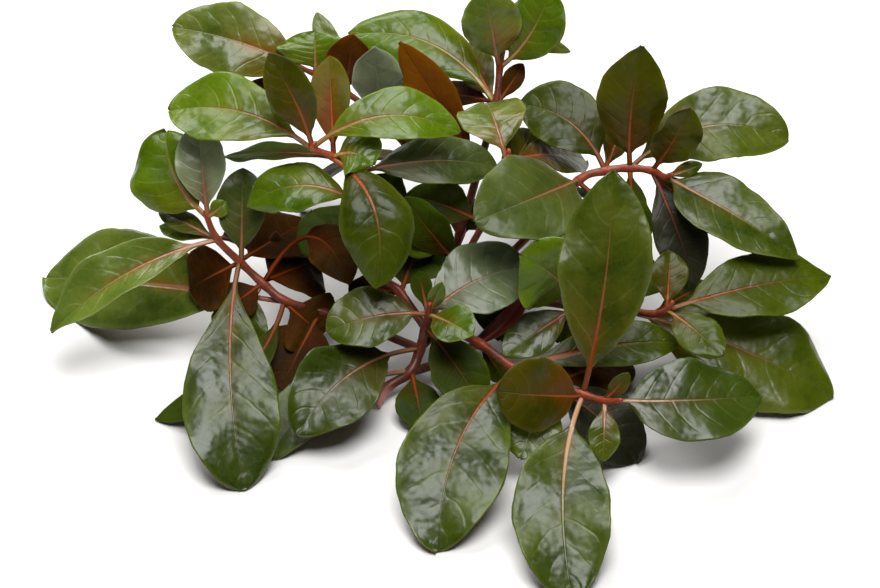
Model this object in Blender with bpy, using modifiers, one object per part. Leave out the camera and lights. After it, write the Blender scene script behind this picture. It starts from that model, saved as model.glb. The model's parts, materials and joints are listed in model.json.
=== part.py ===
"""Ludwigia repens, a creeping aquarium plant: nine branching stems and their leaves, lying as a low clump.

Points are written as they show from the front and above: how far across, how far up that view, and how
high over the surface. Everything is in millimetres until a mesh or a curve is made, in metres.
"""

import math
from collections import namedtuple

import bmesh
import bpy
from mathutils import Vector

MM = 0.001
PLANT = "ludwigia_repens"

# The front view that the points are written in
VIEW_ELEVATION = math.radians(40.0)
VIEW_DISTANCE = 650.0
VIEW_CENTRE = Vector((1.7, -3.3, 25.0))

# Sizes shared by all leaves and stems
BLADE_THICKNESS = 0.45
PETIOLE_THICKNESS = 1.0
PETIOLE_WIDTH = 1.3
TIP_WIDTH = 0.7
GAP = 0.35
FORK_GAP = 0.75
NODE_SWELLING = 1.22
STEM_STEPS = 2
WELD = 0.00001

# How far a stalk turns square to its stem: 0 not at all, 1 all the way
SQUARE_TO_STEM = 0.8

GREEN = (0.075, 0.17, 0.03)
BRIGHT = (0.13, 0.27, 0.05)
DARK = (0.03, 0.06, 0.018)
OLIVE = (0.085, 0.085, 0.02)
RUST = (0.17, 0.045, 0.02)
STEM_RED = (0.24, 0.07, 0.035)
LEAF_ROUGHNESS = 0.35
STEM_ROUGHNESS = 0.4

Stem = namedtuple("Stem", "name parent fork points")
Leaf = namedtuple(
    "Leaf",
    "name stem node tip width facing arch bend petiole fold widest colour size base point",
    defaults=((0.0, -0.45, 0.9), 2.0, 0.0, 0.12, 0.12, 0.54, GREEN, "medium", 0.68, 0.64),
)

# Each stem runs from its fork to its tip: (across, rise, height, radius). Its points are its leaf nodes.
STEMS = (
    Stem("main_stem", None, None, (
        (-12.6, -22.2, 1.2, 1.2), (-10.4, -18.6, 3.4, 1.3), (-6.0, -15.6, 5.4, 1.4), (-4.0, -11.0, 8.5, 1.4),
        (-3.0, -6.8, 13.0, 1.2), (-2.4, -4.0, 18.0, 0.9), (-2.0, -1.8, 21.5, 0.5))),
    Stem("west_stem", "main_stem", 3, (
        (-15.0, -6.5, 8.0, 1.3), (-24.0, -3.5, 10.0, 1.3), (-31.0, -1.4, 13.0, 1.2), (-35.5, 2.2, 16.0, 1.2),
        (-40.0, 6.4, 20.0, 1.1), (-44.6, 11.0, 25.0, 1.0), (-46.6, 15.4, 29.0, 0.7),
        (-47.0, 16.8, 30.2, 0.4))),
    Stem("northwest_stem", "main_stem", 4, (
        (-8.0, 0.4, 16.0, 1.2), (-12.4, 4.0, 20.0, 1.2), (-15.0, 11.0, 27.0, 1.1), (-15.6, 18.0, 34.0, 1.1),
        (-17.0, 24.0, 39.0, 1.0), (-21.4, 27.4, 43.0, 1.0), (-25.6, 29.2, 45.5, 0.8),
        (-24.8, 30.4, 47.0, 0.4))),
    Stem("north_stem", "main_stem", 3, (
        (0.0, 0.0, 10.0, 1.3), (4.0, 12.0, 17.0, 1.3), (8.0, 26.0, 28.0, 1.2), (11.2, 38.2, 40.0, 1.1),
        (12.0, 45.6, 46.0, 1.0), (12.8, 49.0, 50.0, 0.5))),
    Stem("back_stem", "north_stem", 2, (
        (-4.0, 26.0, 27.0, 1.0), (-12.0, 35.0, 35.0, 1.0), (-19.0, 40.5, 40.0, 0.9), (-25.0, 44.0, 43.0, 0.8),
        (-29.4, 45.8, 46.0, 0.4))),
    Stem("inner_stem", "north_stem", 1, (
        (4.0, 6.0, 17.0, 1.0), (8.6, 14.0, 26.0, 1.0), (11.6, 21.0, 33.0, 0.9), (13.4, 26.6, 38.0, 0.9),
        (13.8, 29.0, 40.5, 0.4))),
    Stem("northeast_stem", "north_stem", 0, (
        (10.0, 4.0, 13.5, 1.2), (19.0, 13.0, 21.0, 1.2), (27.6, 22.6, 30.0, 1.2), (33.0, 24.6, 32.0, 1.1),
        (38.0, 25.2, 33.0, 1.1), (42.6, 24.6, 34.0, 1.0), (45.0, 23.4, 35.0, 0.8), (46.6, 24.0, 37.0, 0.4))),
    Stem("east_stem", "main_stem", 2, (
        (5.0, -11.6, 5.0, 1.3), (16.0, -2.2, 11.0, 1.3), (27.0, -2.4, 12.5, 1.2), (36.0, -3.0, 14.5, 1.1),
        (42.6, -4.0, 17.0, 1.0), (45.4, -3.2, 19.5, 0.8), (46.6, -1.4, 22.0, 0.4))),
    Stem("front_stem", "main_stem", 4, (
        (2.4, -7.4, 12.4, 1.2), (8.0, -10.0, 12.0, 1.3), (15.2, -15.2, 11.6, 1.4), (22.0, -18.2, 12.6, 1.2),
        (28.6, -20.2, 14.0, 1.2), (33.0, -21.4, 15.6, 1.0), (36.4, -21.2, 18.0, 0.4))),
)

UP = (0.0, -0.2, 0.98)
LOW = (0.0, -0.45, 0.9)
FRONT = (0.0, -0.85, 0.5)
STANDING = (0.0, -0.98, 0.2)
BACK = (0.0, 0.3, 0.95)

# The middle of a blade that lies on the surface
FLOOR = 0.225

# Each leaf grows from a node of its stem to its tip: (across, rise, height)
LEAVES = (
    # Shoot at the upper left, the tallest rosette
    Leaf("nw_left_leaf", "northwest_stem", 6, (-54.0, 36.6, 47.0), 16.2, (-0.1, -0.5, 0.86), 2.5, -2.8,
         widest=0.6, point=0.55),
    Leaf("nw_right_leaf", "northwest_stem", 6, (4.0, 32.2, 47.0), 11.4, (0.0, -0.5, 0.86), 4.0, 3.6,
         colour=BRIGHT, point=0.75),
    Leaf("nw_upright_leaf", "northwest_stem", 6, (-34.4, 48.0, 64.0), 9.4, STANDING, 1.5, -1.2, colour=OLIVE),
    Leaf("nw_front_leaf", "northwest_stem", 5, (-13.0, 1.2, 27.0), 15.0, (0.2, -0.6, 0.78), 6.0, 3.4,
         colour=OLIVE),
    Leaf("nw_small_leaf", "northwest_stem", 5, (-13.4, 25.8, 44.0), 12.0, LOW, 1.0, 1.2, colour=BRIGHT),
    Leaf("nw_edge_leaf", "northwest_stem", 5, (-43.0, 27.4, 35.0), 8.6, (0.0, 0.15, 1.0), 1.0, colour=DARK),
    Leaf("nw_low_left_leaf", "northwest_stem", 3, (-38.6, 17.6, 33.0), 11.0, LOW, 3.5, -2.7, colour=BRIGHT),
    Leaf("nw_low_right_leaf", "northwest_stem", 4, (11.6, 25.4, 36.0), 11.5, LOW, 2.5, 0.8, colour=DARK),
    # Shoot behind it
    Leaf("back_left_leaf", "back_stem", 3, (-53.4, 53.4, 50.0), 15.4, (-0.1, -0.7, 0.7), 2.0, -1.2, point=0.55),
    Leaf("back_top_leaf", "back_stem", 3, (-25.0, 52.4, 50.0), 15.0, (0.0, -0.6, 0.8), 1.0, colour=BRIGHT),
    # Shoot at the top
    Leaf("north_arch_leaf", "north_stem", 3, (-18.2, 51.8, 48.0), 14.0, (0.0, -0.4, 0.9), 3.0, -4.6),
    Leaf("north_rust_leaf", "north_stem", 2, (-8.0, 50.4, 57.0), 9.4, FRONT, 1.0, colour=RUST, point=0.75),
    Leaf("north_top_left_leaf", "north_stem", 4, (9.0, 61.0, 63.0), 12.6, FRONT, 1.0),
    Leaf("north_top_right_leaf", "north_stem", 4, (22.0, 61.0, 62.0), 12.6, FRONT, 1.0, -1.4),
    # Low leaves behind, on the surface
    Leaf("back_low_left_leaf", "back_stem", 0, (-28.0, 16.6, FLOOR), 15.0, BACK, 6.0, colour=DARK),
    Leaf("back_low_right_leaf", "north_stem", 1, (30.0, 19.0, FLOOR), 15.0, BACK, 6.0, colour=DARK),
    # Shoot in the middle of the back
    Leaf("inner_top_leaf", "inner_stem", 3, (9.0, 38.0, 41.0), 14.4, (0.0, -0.5, 0.86), 4.0),
    Leaf("inner_low_leaf", "inner_stem", 1, (-6.6, 19.6, 26.8), 12.0, LOW, 2.0, colour=DARK),
    Leaf("inner_left_leaf", "inner_stem", 0, (-7.0, 19.4, 35.0), 9.0, STANDING, 1.0, colour=DARK),
    # Shoot at the upper right
    Leaf("ne_round_leaf", "northeast_stem", 2, (7.0, 14.4, 35.0), 20.4, (0.0, -0.5, 0.86), 2.5, 1.0, 0.06,
         widest=0.46, size="large", base=0.6, point=0.55),
    Leaf("ne_back_leaf", "northeast_stem", 3, (15.6, 38.0, 40.0), 14.6, LOW, 2.0, -2.8, base=0.55),
    Leaf("ne_upright_leaf", "northeast_stem", 4, (40.4, 49.6, 60.0), 14.4, STANDING, 1.5, 1.0, colour=OLIVE,
         base=0.54, point=0.75),
    Leaf("ne_small_upright_leaf", "northeast_stem", 5, (50.0, 37.4, 50.0), 9.8, STANDING, 1.0, -0.2,
         colour=OLIVE),
    Leaf("ne_far_right_leaf", "northeast_stem", 4, (69.6, 30.8, 38.0), 16.4, LOW, 4.5, 4.0, 0.08, point=0.55),
    Leaf("ne_right_leaf", "northeast_stem", 6, (72.0, 7.0, 25.0), 14.8, (0.2, -0.4, 0.9), 2.0, -0.4, 0.05,
         widest=0.4, point=0.75),
    # Shoot in the middle
    Leaf("centre_right_leaf", "main_stem", 5, (17.4, 5.4, 21.0), 16.4, LOW, 2.0, 1.2, 0.06, colour=DARK,
         base=0.6, point=0.55),
    Leaf("centre_left_leaf", "main_stem", 5, (-22.6, -7.6, 16.5), 13.0, LOW, 2.0, -0.6, base=0.6, point=0.55),
    Leaf("centre_small_leaf", "main_stem", 5, (6.6, -8.4, 20.0), 9.0, LOW, 1.0, colour=BRIGHT),
    Leaf("centre_front_leaf", "main_stem", 4, (8.6, -22.6, 5.0), 11.4, LOW, 2.0, colour=DARK),
    Leaf("centre_low_left_leaf", "main_stem", 3, (-28.6, -28.4, 5.5), 16.6, LOW, 3.0, -3.0, 0.2,
         size="large"),
    Leaf("centre_floor_left_leaf", "main_stem", 2, (-34.4, -33.4, FLOOR), 13.6, UP, 1.0, -4.5),
    # Long shoot at the left
    Leaf("west_upright_leaf", "west_stem", 6, (-48.4, 33.8, 43.8), 10.6, STANDING, 1.0, colour=DARK,
         point=0.55),
    Leaf("west_back_leaf", "west_stem", 6, (-54.6, 32.4, 37.5), 19.4, (-0.3, -0.6, 0.75), 1.5, 2.0,
         colour=BRIGHT, base=0.6, point=0.55),
    Leaf("west_far_leaf", "west_stem", 5, (-77.6, -7.6, 12.0), 12.0, LOW, 3.0, -1.8, fold=0.4,
         colour=BRIGHT, point=0.75),
    Leaf("west_wide_leaf", "west_stem", 2, (-78.6, 3.2, 1.95), 22.0, (-0.1, -0.6, 0.8), 4.0, widest=0.62,
         size="large", point=0.55),
    Leaf("west_front_leaf", "west_stem", 4, (-39.2, -39.4, FLOOR), 19.4, BACK, 5.0, -2.2, widest=0.64,
         size="large", point=0.54),
    Leaf("west_inner_leaf", "west_stem", 4, (-39.4, 25.2, 36.0), 10.4, FRONT, 1.0, colour=DARK, point=0.6),
    Leaf("west_right_leaf", "west_stem", 3, (-18.0, 2.0, 20.0), 10.4, LOW, 3.0, 9.0, 0.45, colour=DARK),
    Leaf("west_shade_leaf", "west_stem", 3, (-42.0, -11.0, 6.0), 12.6, LOW, 1.0, petiole=0.2, colour=RUST),
    Leaf("west_floor_leaf", "west_stem", 2, (-57.0, -25.0, 0.5), 9.4, UP, 1.0, 6.6, colour=DARK),
    # Shoot at the right
    Leaf("east_far_leaf", "east_stem", 5, (78.2, 3.6, 20.0), 15.0, LOW, 2.0, 0.4, size="large", base=0.55,
         point=0.75),
    Leaf("east_low_leaf", "east_stem", 3, (78.6, -20.8, 0.4), 23.0, (0.2, -0.4, 0.9), 3.0, 0.6,
         size="large", point=0.55),
    Leaf("east_left_leaf", "east_stem", 2, (16.0, 7.8, 30.0), 17.0, FRONT, 1.0, -1.6, colour=BRIGHT,
         base=0.6),
    # Shoot at the front right
    Leaf("front_standing_leaf", "front_stem", 4, (34.6, 24.8, 52.0), 18.6, (0.0, -0.9, 0.4), 2.0, -1.2,
         size="large", point=0.75),
    Leaf("front_left_leaf", "front_stem", 2, (-0.6, -51.6, FLOOR), 21.4, (0.0, -0.3, 0.95), 5.0, -3.6,
         size="large", base=0.6, point=0.55),
    Leaf("front_long_leaf", "front_stem", 2, (48.0, -9.6, 13.0), 10.2, LOW, 2.0, 0.7, 0.06, widest=0.62),
    Leaf("front_olive_leaf", "front_stem", 4, (11.4, -19.4, 18.0), 15.4, FRONT, 1.5, petiole=0.06,
         colour=OLIVE, base=0.6, point=0.55),
    Leaf("front_middle_leaf", "front_stem", 4, (26.4, -61.0, FLOOR), 19.0, (0.0, -0.3, 0.95), 4.0, -2.8,
         0.18, size="large", point=0.5),
    Leaf("front_right_leaf", "front_stem", 5, (64.0, -20.4, 11.0), 17.6, LOW, 2.5, -1.5, widest=0.46),
    Leaf("front_floor_leaf", "front_stem", 3, (39.0, -33.8, FLOOR), 15.4, UP, 1.0, 1.5, colour=DARK,
         point=0.55),
)

# Young leaves and small inner ones, grown together with the stem that they sit on
YOUNG_LEAVES = (
    Leaf("west_young_a", "west_stem", 5, (-56.2, 16.6, 25.0), 5.0, LOW, 0.5, colour=RUST),
    Leaf("west_young_b", "west_stem", 6, (-42.8, 18.4, 31.5), 4.0, FRONT, 0.5, colour=BRIGHT),
    Leaf("west_young_c", "west_stem", 5, (-56.0, 13.6, 20.5), 5.0, LOW, 0.5, colour=BRIGHT),
    Leaf("west_under_a", "west_stem", 2, (-23.6, -8.4, 6.5), 16.0, LOW, 0.5, colour=RUST, base=1.2,
         point=0.5),
    Leaf("west_under_d", "west_stem", 1, (-32.0, -19.0, 2.5), 15.6, LOW, 0.5, colour=RUST, point=0.6),
    Leaf("west_under_e", "west_stem", 4, (-26.6, 14.6, 14.5), 15.6, LOW, 0.5, colour=RUST, point=0.64),
    Leaf("west_under_b", "west_stem", 4, (-50.0, 1.0, 13.0), 15.0, LOW, 0.5, colour=RUST, point=0.5),
    Leaf("west_under_c", "west_stem", 3, (-25.0, 6.4, 12.0), 17.0, LOW, 0.5, colour=RUST, point=0.5),
    Leaf("nw_back_leaf", "northwest_stem", 5, (-22.0, 47.6, 55.0), 8.4, STANDING, 1.0, colour=OLIVE),
    Leaf("nw_under_a", "northwest_stem", 1, (-25.4, 16.6, 21.0), 16.0, LOW, 0.5, colour=DARK, point=0.5),
    Leaf("nw_under_b", "northwest_stem", 2, (-1.0, 13.2, 20.2), 15.0, LOW, 0.5, colour=DARK, point=0.64),
    Leaf("nw_under_d", "northwest_stem", 4, (-7.4, 15.8, 29.0), 11.0, LOW, 0.5, colour=DARK),
    Leaf("nw_under_c", "northwest_stem", 0, (-4.0, 10.8, 18.0), 16.0, LOW, 0.5, colour=DARK, point=0.64),
    Leaf("back_rust_leaf", "back_stem", 2, (-17.4, 52.0, 57.0), 10.0, FRONT, 1.0, colour=RUST),
    Leaf("back_grey_leaf", "back_stem", 1, (-13.0, 49.4, 57.5), 11.0, STANDING, 1.0),
    Leaf("back_young", "back_stem", 2, (-24.6, 56.2, 46.0), 5.4, FRONT, 0.5),
    Leaf("back_under", "back_stem", 0, (-2.0, 40.0, 42.0), 13.0, FRONT, 0.5, colour=OLIVE, point=0.64),
    Leaf("north_young", "north_stem", 5, (26.0, 48.4, 43.0), 4.2, LOW, 1.0, 1.0),
    Leaf("north_under_a", "north_stem", 3, (5.0, 49.8, 41.0), 8.0, FRONT, 0.5, colour=OLIVE, point=0.5),
    Leaf("north_under_b", "north_stem", 1, (8.0, 18.8, 20.0), 14.0, LOW, 0.5, colour=DARK, point=0.64),
    Leaf("inner_right_leaf", "inner_stem", 3, (29.0, 26.6, 22.0), 10.0, LOW, 2.0, colour=OLIVE),
    Leaf("ne_young_a", "northeast_stem", 5, (48.6, 16.4, 26.0), 8.0, LOW, 0.5, colour=DARK),
    Leaf("ne_young_b", "northeast_stem", 5, (54.0, 12.4, 22.0), 4.8, LOW, 0.5, -1.6, colour=RUST),
    Leaf("ne_shade_leaf", "northeast_stem", 5, (51.0, 2.0, 17.0), 11.0, LOW, 2.0, petiole=0.12, colour=DARK),
    Leaf("ne_under", "northeast_stem", 2, (41.0, 9.6, 20.0), 14.0, LOW, 0.5, colour=DARK, point=0.5),
    Leaf("centre_young", "main_stem", 5, (0.4, 2.4, 26.0), 3.4, FRONT, 0.5, colour=BRIGHT),
    Leaf("centre_floor_front_leaf", "main_stem", 2, (-3.4, -27.6, 0.8), 9.6, UP, 1.0, colour=DARK),
    Leaf("east_curled", "east_stem", 0, (18.6, 3.4, 20.0), 3.6, FRONT, 1.0, -2.0, colour=RUST),
    Leaf("east_under_a", "east_stem", 1, (12.0, -9.2, 5.0), 19.0, LOW, 0.5, colour=DARK, point=0.5),
    Leaf("east_under_d", "east_stem", 2, (24.0, -9.6, 4.5), 15.0, LOW, 0.5, colour=DARK, point=0.6),
    Leaf("east_under_e", "east_stem", 3, (40.0, 8.0, 18.0), 15.0, LOW, 0.5, colour=DARK, point=0.5),
    Leaf("east_under_b", "east_stem", 2, (12.8, -12.4, 8.0), 9.6, LOW, 0.5),
    Leaf("east_under_c", "east_stem", 3, (36.0, -13.4, 6.0), 11.0, LOW, 0.5, colour=RUST, point=0.64),
    Leaf("east_front_leaf", "east_stem", 5, (56.4, -12.4, 19.0), 9.0, LOW, 1.5, point=0.55),
    Leaf("east_young", "east_stem", 5, (46.0, 8.6, 27.0), 7.5, FRONT, 0.5, colour=OLIVE),
    Leaf("front_young_a", "front_stem", 5, (37.8, -15.8, 22.0), 3.6, FRONT, 0.5, colour=OLIVE),
    Leaf("front_young_b", "front_stem", 5, (32.6, -33.4, 8.0), 6.4, FRONT, 1.0),
    Leaf("front_shade", "front_stem", 3, (37.4, -12.6, 3.0), 14.0, LOW, 0.5, colour=RUST, point=0.64),
    Leaf("north_under_c", "north_stem", 3, (-2.0, 40.4, 31.0), 7.0, LOW, 0.5, colour=RUST),
    Leaf("north_young_b", "north_stem", 3, (16.6, 46.0, 45.0), 4.4, FRONT, 0.5, colour=RUST),
    Leaf("ne_under_b", "northeast_stem", 3, (36.6, 34.8, 34.4), 6.0, FRONT, 0.5, colour=OLIVE),
    Leaf("west_under_g", "west_stem", 3, (-43.0, -3.6, 13.0), 8.6, LOW, 0.5, colour=RUST),
    Leaf("west_under_f", "west_stem", 5, (-37.0, 10.0, 13.0), 6.4, LOW, 0.5, colour=RUST),
    Leaf("centre_young_b", "main_stem", 5, (-4.2, 4.6, 19.0), 4.4, FRONT, 0.5, colour=DARK),
    Leaf("nw_under_f", "northwest_stem", 0, (-18.2, 1.6, 13.0), 7.0, LOW, 0.5, colour=RUST),
    Leaf("front_under_b", "front_stem", 1, (13.0, -17.4, 4.0), 6.0, LOW, 0.5, colour=DARK),
    Leaf("back_young_b", "back_stem", 2, (-40.0, 41.0, 38.0), 6.0, FRONT, 0.5, colour=RUST),
    Leaf("ne_young_c", "northeast_stem", 6, (52.4, 26.0, 37.0), 3.2, FRONT, 0.5),
    Leaf("ne_under_c", "northeast_stem", 4, (38.6, 13.0, 24.0), 6.0, LOW, 0.5, colour=DARK),
    Leaf("inner_under_b", "inner_stem", 2, (18.6, 33.0, 33.0), 8.0, FRONT, 0.5, colour=OLIVE),
    Leaf("east_under_f", "east_stem", 4, (54.0, 2.4, 11.0), 6.0, LOW, 0.5, colour=DARK),
    Leaf("front_under", "front_stem", 3, (16.0, -32.8, 6.0), 12.0, LOW, 1.0, point=0.5),
)

ROWS_ACROSS = {"large": (-1.0, -0.5, 0.0, 0.5, 1.0)}
BLADE_ROWS = (0.0, 0.1, 0.28, 0.52, 0.76, 0.93, 1.0)
YOUNG_ROWS = (0.3, 0.75, 1.0)


def remove_everything():
    for obj in list(bpy.data.objects):
        bpy.data.objects.remove(obj, do_unlink=True)


def collection(name):
    made = bpy.data.collections.new(name)
    bpy.context.scene.collection.children.link(made)
    return made


def material(name, colour, roughness):
    made = bpy.data.materials.new(name)
    made.use_nodes = True
    shader = made.node_tree.nodes["Principled BSDF"]
    shader.inputs["Base Color"].default_value = (*colour, 1.0)
    shader.inputs["Roughness"].default_value = roughness
    shader.inputs["Metallic"].default_value = 0.0
    return made


def place(across, rise, height):
    """The point at this height that shows at (across, rise) from the front."""
    back = Vector((0.0, -math.cos(VIEW_ELEVATION), math.sin(VIEW_ELEVATION)))
    up = Vector((0.0, math.sin(VIEW_ELEVATION), math.cos(VIEW_ELEVATION)))
    eye = VIEW_CENTRE + VIEW_DISTANCE * back
    seen = VIEW_CENTRE + across * Vector((1.0, 0.0, 0.0)) + rise * up
    share = (height - eye.z) / (seen.z - eye.z)
    return eye + share * (seen - eye)


def bezier(ends, t):
    """A point and a direction on a quadratic curve."""
    a, b, c = ends
    point = a * (1 - t) ** 2 + b * 2 * t * (1 - t) + c * t**2
    direction = (b - a) * 2 * (1 - t) + (c - b) * 2 * t
    return point, direction.normalized()


def catmull(points, i, t):
    """A point between points i and i + 1, on a smooth curve through all of them."""
    a = points[max(i - 1, 0)]
    b, c = points[i], points[i + 1]
    d = points[min(i + 2, len(points) - 1)]
    return 0.5 * (2 * b + (c - a) * t + (2 * a - 5 * b + 4 * c - d) * t**2 + (3 * b - a - 3 * c + d) * t**3)


def stem_axes():
    """Each stem's points and radii, its first point clear of the stem that it forks from."""
    axes = {}
    for stem in STEMS:
        points = [place(*row[:3]) for row in stem.points]
        radii = [row[3] for row in stem.points]
        if stem.parent:
            parent_points, parent_radii = axes[stem.parent]
            fork = parent_points[stem.fork]
            along = (parent_points[stem.fork + 1] - fork).normalized()
            out = points[0] - fork
            out = (out - along * out.dot(along)).normalized()
            reach = parent_radii[stem.fork] * NODE_SWELLING + FORK_GAP
            points.insert(0, fork + out * reach)
            radii.insert(0, radii[0])
        axes[stem.name] = (points, radii)
    return axes


def node_of(axes, stem_name, node):
    """A leaf node's point, its direction along the stem and the stem's radius there."""
    points, radii = axes[stem_name]
    first = len(points) - len(next(s.points for s in STEMS if s.name == stem_name))
    i = node + first
    along = (points[min(i + 1, len(points) - 1)] - points[max(i - 1, 0)]).normalized()
    return points[i], along, radii[i]


def half_width(leaf, t):
    """Half the leaf's width at t, from its stalk's root (0) to its tip (1)."""
    if t <= leaf.petiole:
        return PETIOLE_WIDTH / 2
    blade = (t - leaf.petiole) / (1 - leaf.petiole)
    swell = math.sin(math.pi * blade ** (math.log(0.5) / math.log(leaf.widest)))
    edge = PETIOLE_WIDTH / 2 * (1 - blade) + TIP_WIDTH / 2 * blade
    rounding = leaf.base if blade < leaf.widest else leaf.point
    return max(edge, leaf.width / 2 * max(swell, 0.0) ** rounding)


def leaf_object(leaf, root, size, group):
    """A leaf as a thin closed solid: a grid laid along its midrib, given its thickness both ways."""
    tip = place(*leaf.tip)
    facing = Vector(leaf.facing).normalized()
    chord = (tip - root).normalized()
    upper = (facing - chord * facing.dot(chord)).normalized()
    side = upper.cross(chord)
    ends = (root, (root + tip) / 2 + upper * leaf.arch * 2 + side * leaf.bend * 2, tip)

    rows = YOUNG_ROWS if size == "young" else BLADE_ROWS
    along = (0.0,) + tuple(leaf.petiole + (1 - leaf.petiole) * b for b in rows)
    across = ROWS_ACROSS.get(size, (-1.0, 0.0, 1.0))
    bm = bmesh.new()
    bmesh.ops.create_grid(bm, x_segments=len(along) - 1, y_segments=len(across) - 1, size=1.0)
    stalk = []
    for vertex in bm.verts:
        t = along[round((vertex.co.x + 1) / 2 * (len(along) - 1))]
        s = across[round((vertex.co.y + 1) / 2 * (len(across) - 1))]
        middle, direction = bezier(ends, t)
        normal = (facing - direction * facing.dot(direction)).normalized()
        half = half_width(leaf, t)
        vertex.co = (middle + normal.cross(direction) * s * half + normal * leaf.fold * abs(s) * half) * MM
        if t <= leaf.petiole:
            stalk.append(vertex.index)
    mesh = bpy.data.meshes.new(leaf.name)
    bm.to_mesh(mesh)
    bm.free()
    obj = bpy.data.objects.new(leaf.name, mesh)
    group.objects.link(obj)

    thick = obj.vertex_groups.new(name="thickness")
    thick.add(range(len(mesh.vertices)), BLADE_THICKNESS / PETIOLE_THICKNESS, "REPLACE")
    thick.add(stalk, 1.0, "REPLACE")
    solid = obj.modifiers.new("Leaf thickness", "SOLIDIFY")
    solid.thickness = PETIOLE_THICKNESS * MM
    solid.offset = 0.0
    solid.vertex_group = thick.name
    mesh.materials.append(material(leaf.name, leaf.colour, LEAF_ROUGHNESS))
    mesh.shade_smooth()
    return obj


def leaf_root(axes, leaf):
    """Where a leaf's stalk starts, just clear of the stem."""
    node, along, radius = node_of(axes, leaf.stem, leaf.node)
    out = place(*leaf.tip) - node
    out = (out - along * out.dot(along) * SQUARE_TO_STEM).normalized()
    return node + out * (radius * NODE_SWELLING + GAP + PETIOLE_THICKNESS / 2)


def stem_object(stem, axes, group):
    """A stem as a tube, swollen at its nodes, joined with its young leaves."""
    points, radii = axes[stem.name]
    rows = []
    for i in range(len(points) - 1):
        for step in range(STEM_STEPS):
            t = step / STEM_STEPS
            radius = radii[i] * (1 - t) + radii[i + 1] * t
            rows.append((catmull(points, i, t), radius * (NODE_SWELLING if step == 0 and i else 1.0)))
    rows.append((points[-1], radii[-1]))
    curve = bpy.data.curves.new(stem.name, "CURVE")
    curve.dimensions = "3D"
    curve.bevel_depth = MM
    curve.bevel_resolution = 1
    curve.use_fill_caps = True
    spline = curve.splines.new("POLY")
    spline.points.add(len(rows) - 1)
    for point, (place_mm, radius) in zip(spline.points, rows):
        point.co = (*(place_mm * MM), 1.0)
        point.radius = radius
    tube = bpy.data.objects.new(stem.name + "_tube", curve)
    group.objects.link(tube)

    bpy.context.view_layer.update()
    graph = bpy.context.evaluated_depsgraph_get()
    mesh = bpy.data.meshes.new_from_object(tube.evaluated_get(graph))
    bpy.data.objects.remove(tube)
    bm = bmesh.new()
    bm.from_mesh(mesh)
    bmesh.ops.remove_doubles(bm, verts=bm.verts, dist=WELD)
    bm.to_mesh(mesh)
    bm.free()
    obj = bpy.data.objects.new(stem.name, mesh)
    group.objects.link(obj)
    mesh.materials.clear()
    mesh.materials.append(material(stem.name, STEM_RED, STEM_ROUGHNESS))
    mesh.shade_smooth()
    return obj


def join_young_leaves(stem, axes, cutters):
    """The small leaves that grow as one with this stem."""
    for leaf in YOUNG_LEAVES:
        if leaf.stem != stem.name:
            continue
        node = node_of(axes, leaf.stem, leaf.node)[0]
        young = leaf_object(leaf, node, "young", cutters)
        young.hide_render = True
        young.display_type = "WIRE"
        joined = bpy.data.objects[stem.name].modifiers.new(leaf.name, "BOOLEAN")
        joined.operation = "UNION"
        joined.solver = "EXACT"
        joined.object = young


def build():
    remove_everything()
    plant = collection(PLANT)
    cutters = collection(PLANT + "_young_leaves")
    cutters.hide_render = True
    axes = stem_axes()
    for stem in STEMS:
        stem_object(stem, axes, plant)
        join_young_leaves(stem, axes, cutters)
    for leaf in LEAVES:
        leaf_object(leaf, leaf_root(axes, leaf), leaf.size, plant)


build()
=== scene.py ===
"""Looks of a creeping aquarium plant, ludwigia repens: veined glossy leaves in pairs on branching stems.

The stems and leaves follow the same rows as the solids. Points are written as they show from
the front and above: how far across, how far up that view, and how high over the surface, in millimetres.
"""

import json
import math
from collections import namedtuple

import bmesh
import bpy
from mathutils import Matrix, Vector, noise

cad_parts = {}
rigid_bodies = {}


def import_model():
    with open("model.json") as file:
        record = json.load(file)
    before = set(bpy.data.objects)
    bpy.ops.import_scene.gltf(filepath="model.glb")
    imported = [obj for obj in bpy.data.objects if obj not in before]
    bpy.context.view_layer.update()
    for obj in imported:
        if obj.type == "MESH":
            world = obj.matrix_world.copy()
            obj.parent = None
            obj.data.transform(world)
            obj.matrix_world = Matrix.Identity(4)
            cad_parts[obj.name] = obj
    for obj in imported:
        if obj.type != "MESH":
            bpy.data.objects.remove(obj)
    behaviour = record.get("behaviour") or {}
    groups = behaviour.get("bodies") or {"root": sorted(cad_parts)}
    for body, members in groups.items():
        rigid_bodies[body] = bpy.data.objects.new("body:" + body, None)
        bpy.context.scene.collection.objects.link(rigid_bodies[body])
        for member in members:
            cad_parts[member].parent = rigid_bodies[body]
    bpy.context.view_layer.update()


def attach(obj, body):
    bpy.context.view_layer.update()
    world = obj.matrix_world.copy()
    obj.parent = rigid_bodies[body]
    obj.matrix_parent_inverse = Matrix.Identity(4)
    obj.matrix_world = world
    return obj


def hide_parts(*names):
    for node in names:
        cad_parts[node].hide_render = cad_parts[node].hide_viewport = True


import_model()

MM = 0.001

# The front view that the points are written in, which is the photograph's
VIEW_ELEVATION = math.radians(40.0)
VIEW_DISTANCE = 650.0
VIEW_CENTRE = Vector((1.7, -3.3, 25.0))
VIEW_WIDTH = 176.0

# Leaf sizes
PETIOLE_WIDTH = 1.1
PETIOLE_THICKNESS = 0.9
BLADE_THICKNESS = 0.34
EDGE_THICKNESS = 0.16
TIP_WIDTH = 0.7

# How far a leaf's underside stays over the surface
FLOOR_GAP = 0.05

# How far from a stem's middle a stalk starts, as a share of its radius, and how nearly square to the stem
STALK_START = 0.5
SQUARE_TO_STEM = 0.8

# How far along a blade its stalk flattens out, as a share of its length
STALK_END = 0.14

# The midrib's ridge under the blade: its height, the share of that which it loses by the tip, and its reach
RIB_HEIGHT = 0.5
RIB_FADE = 0.8
RIB_REACH = 0.7

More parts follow.
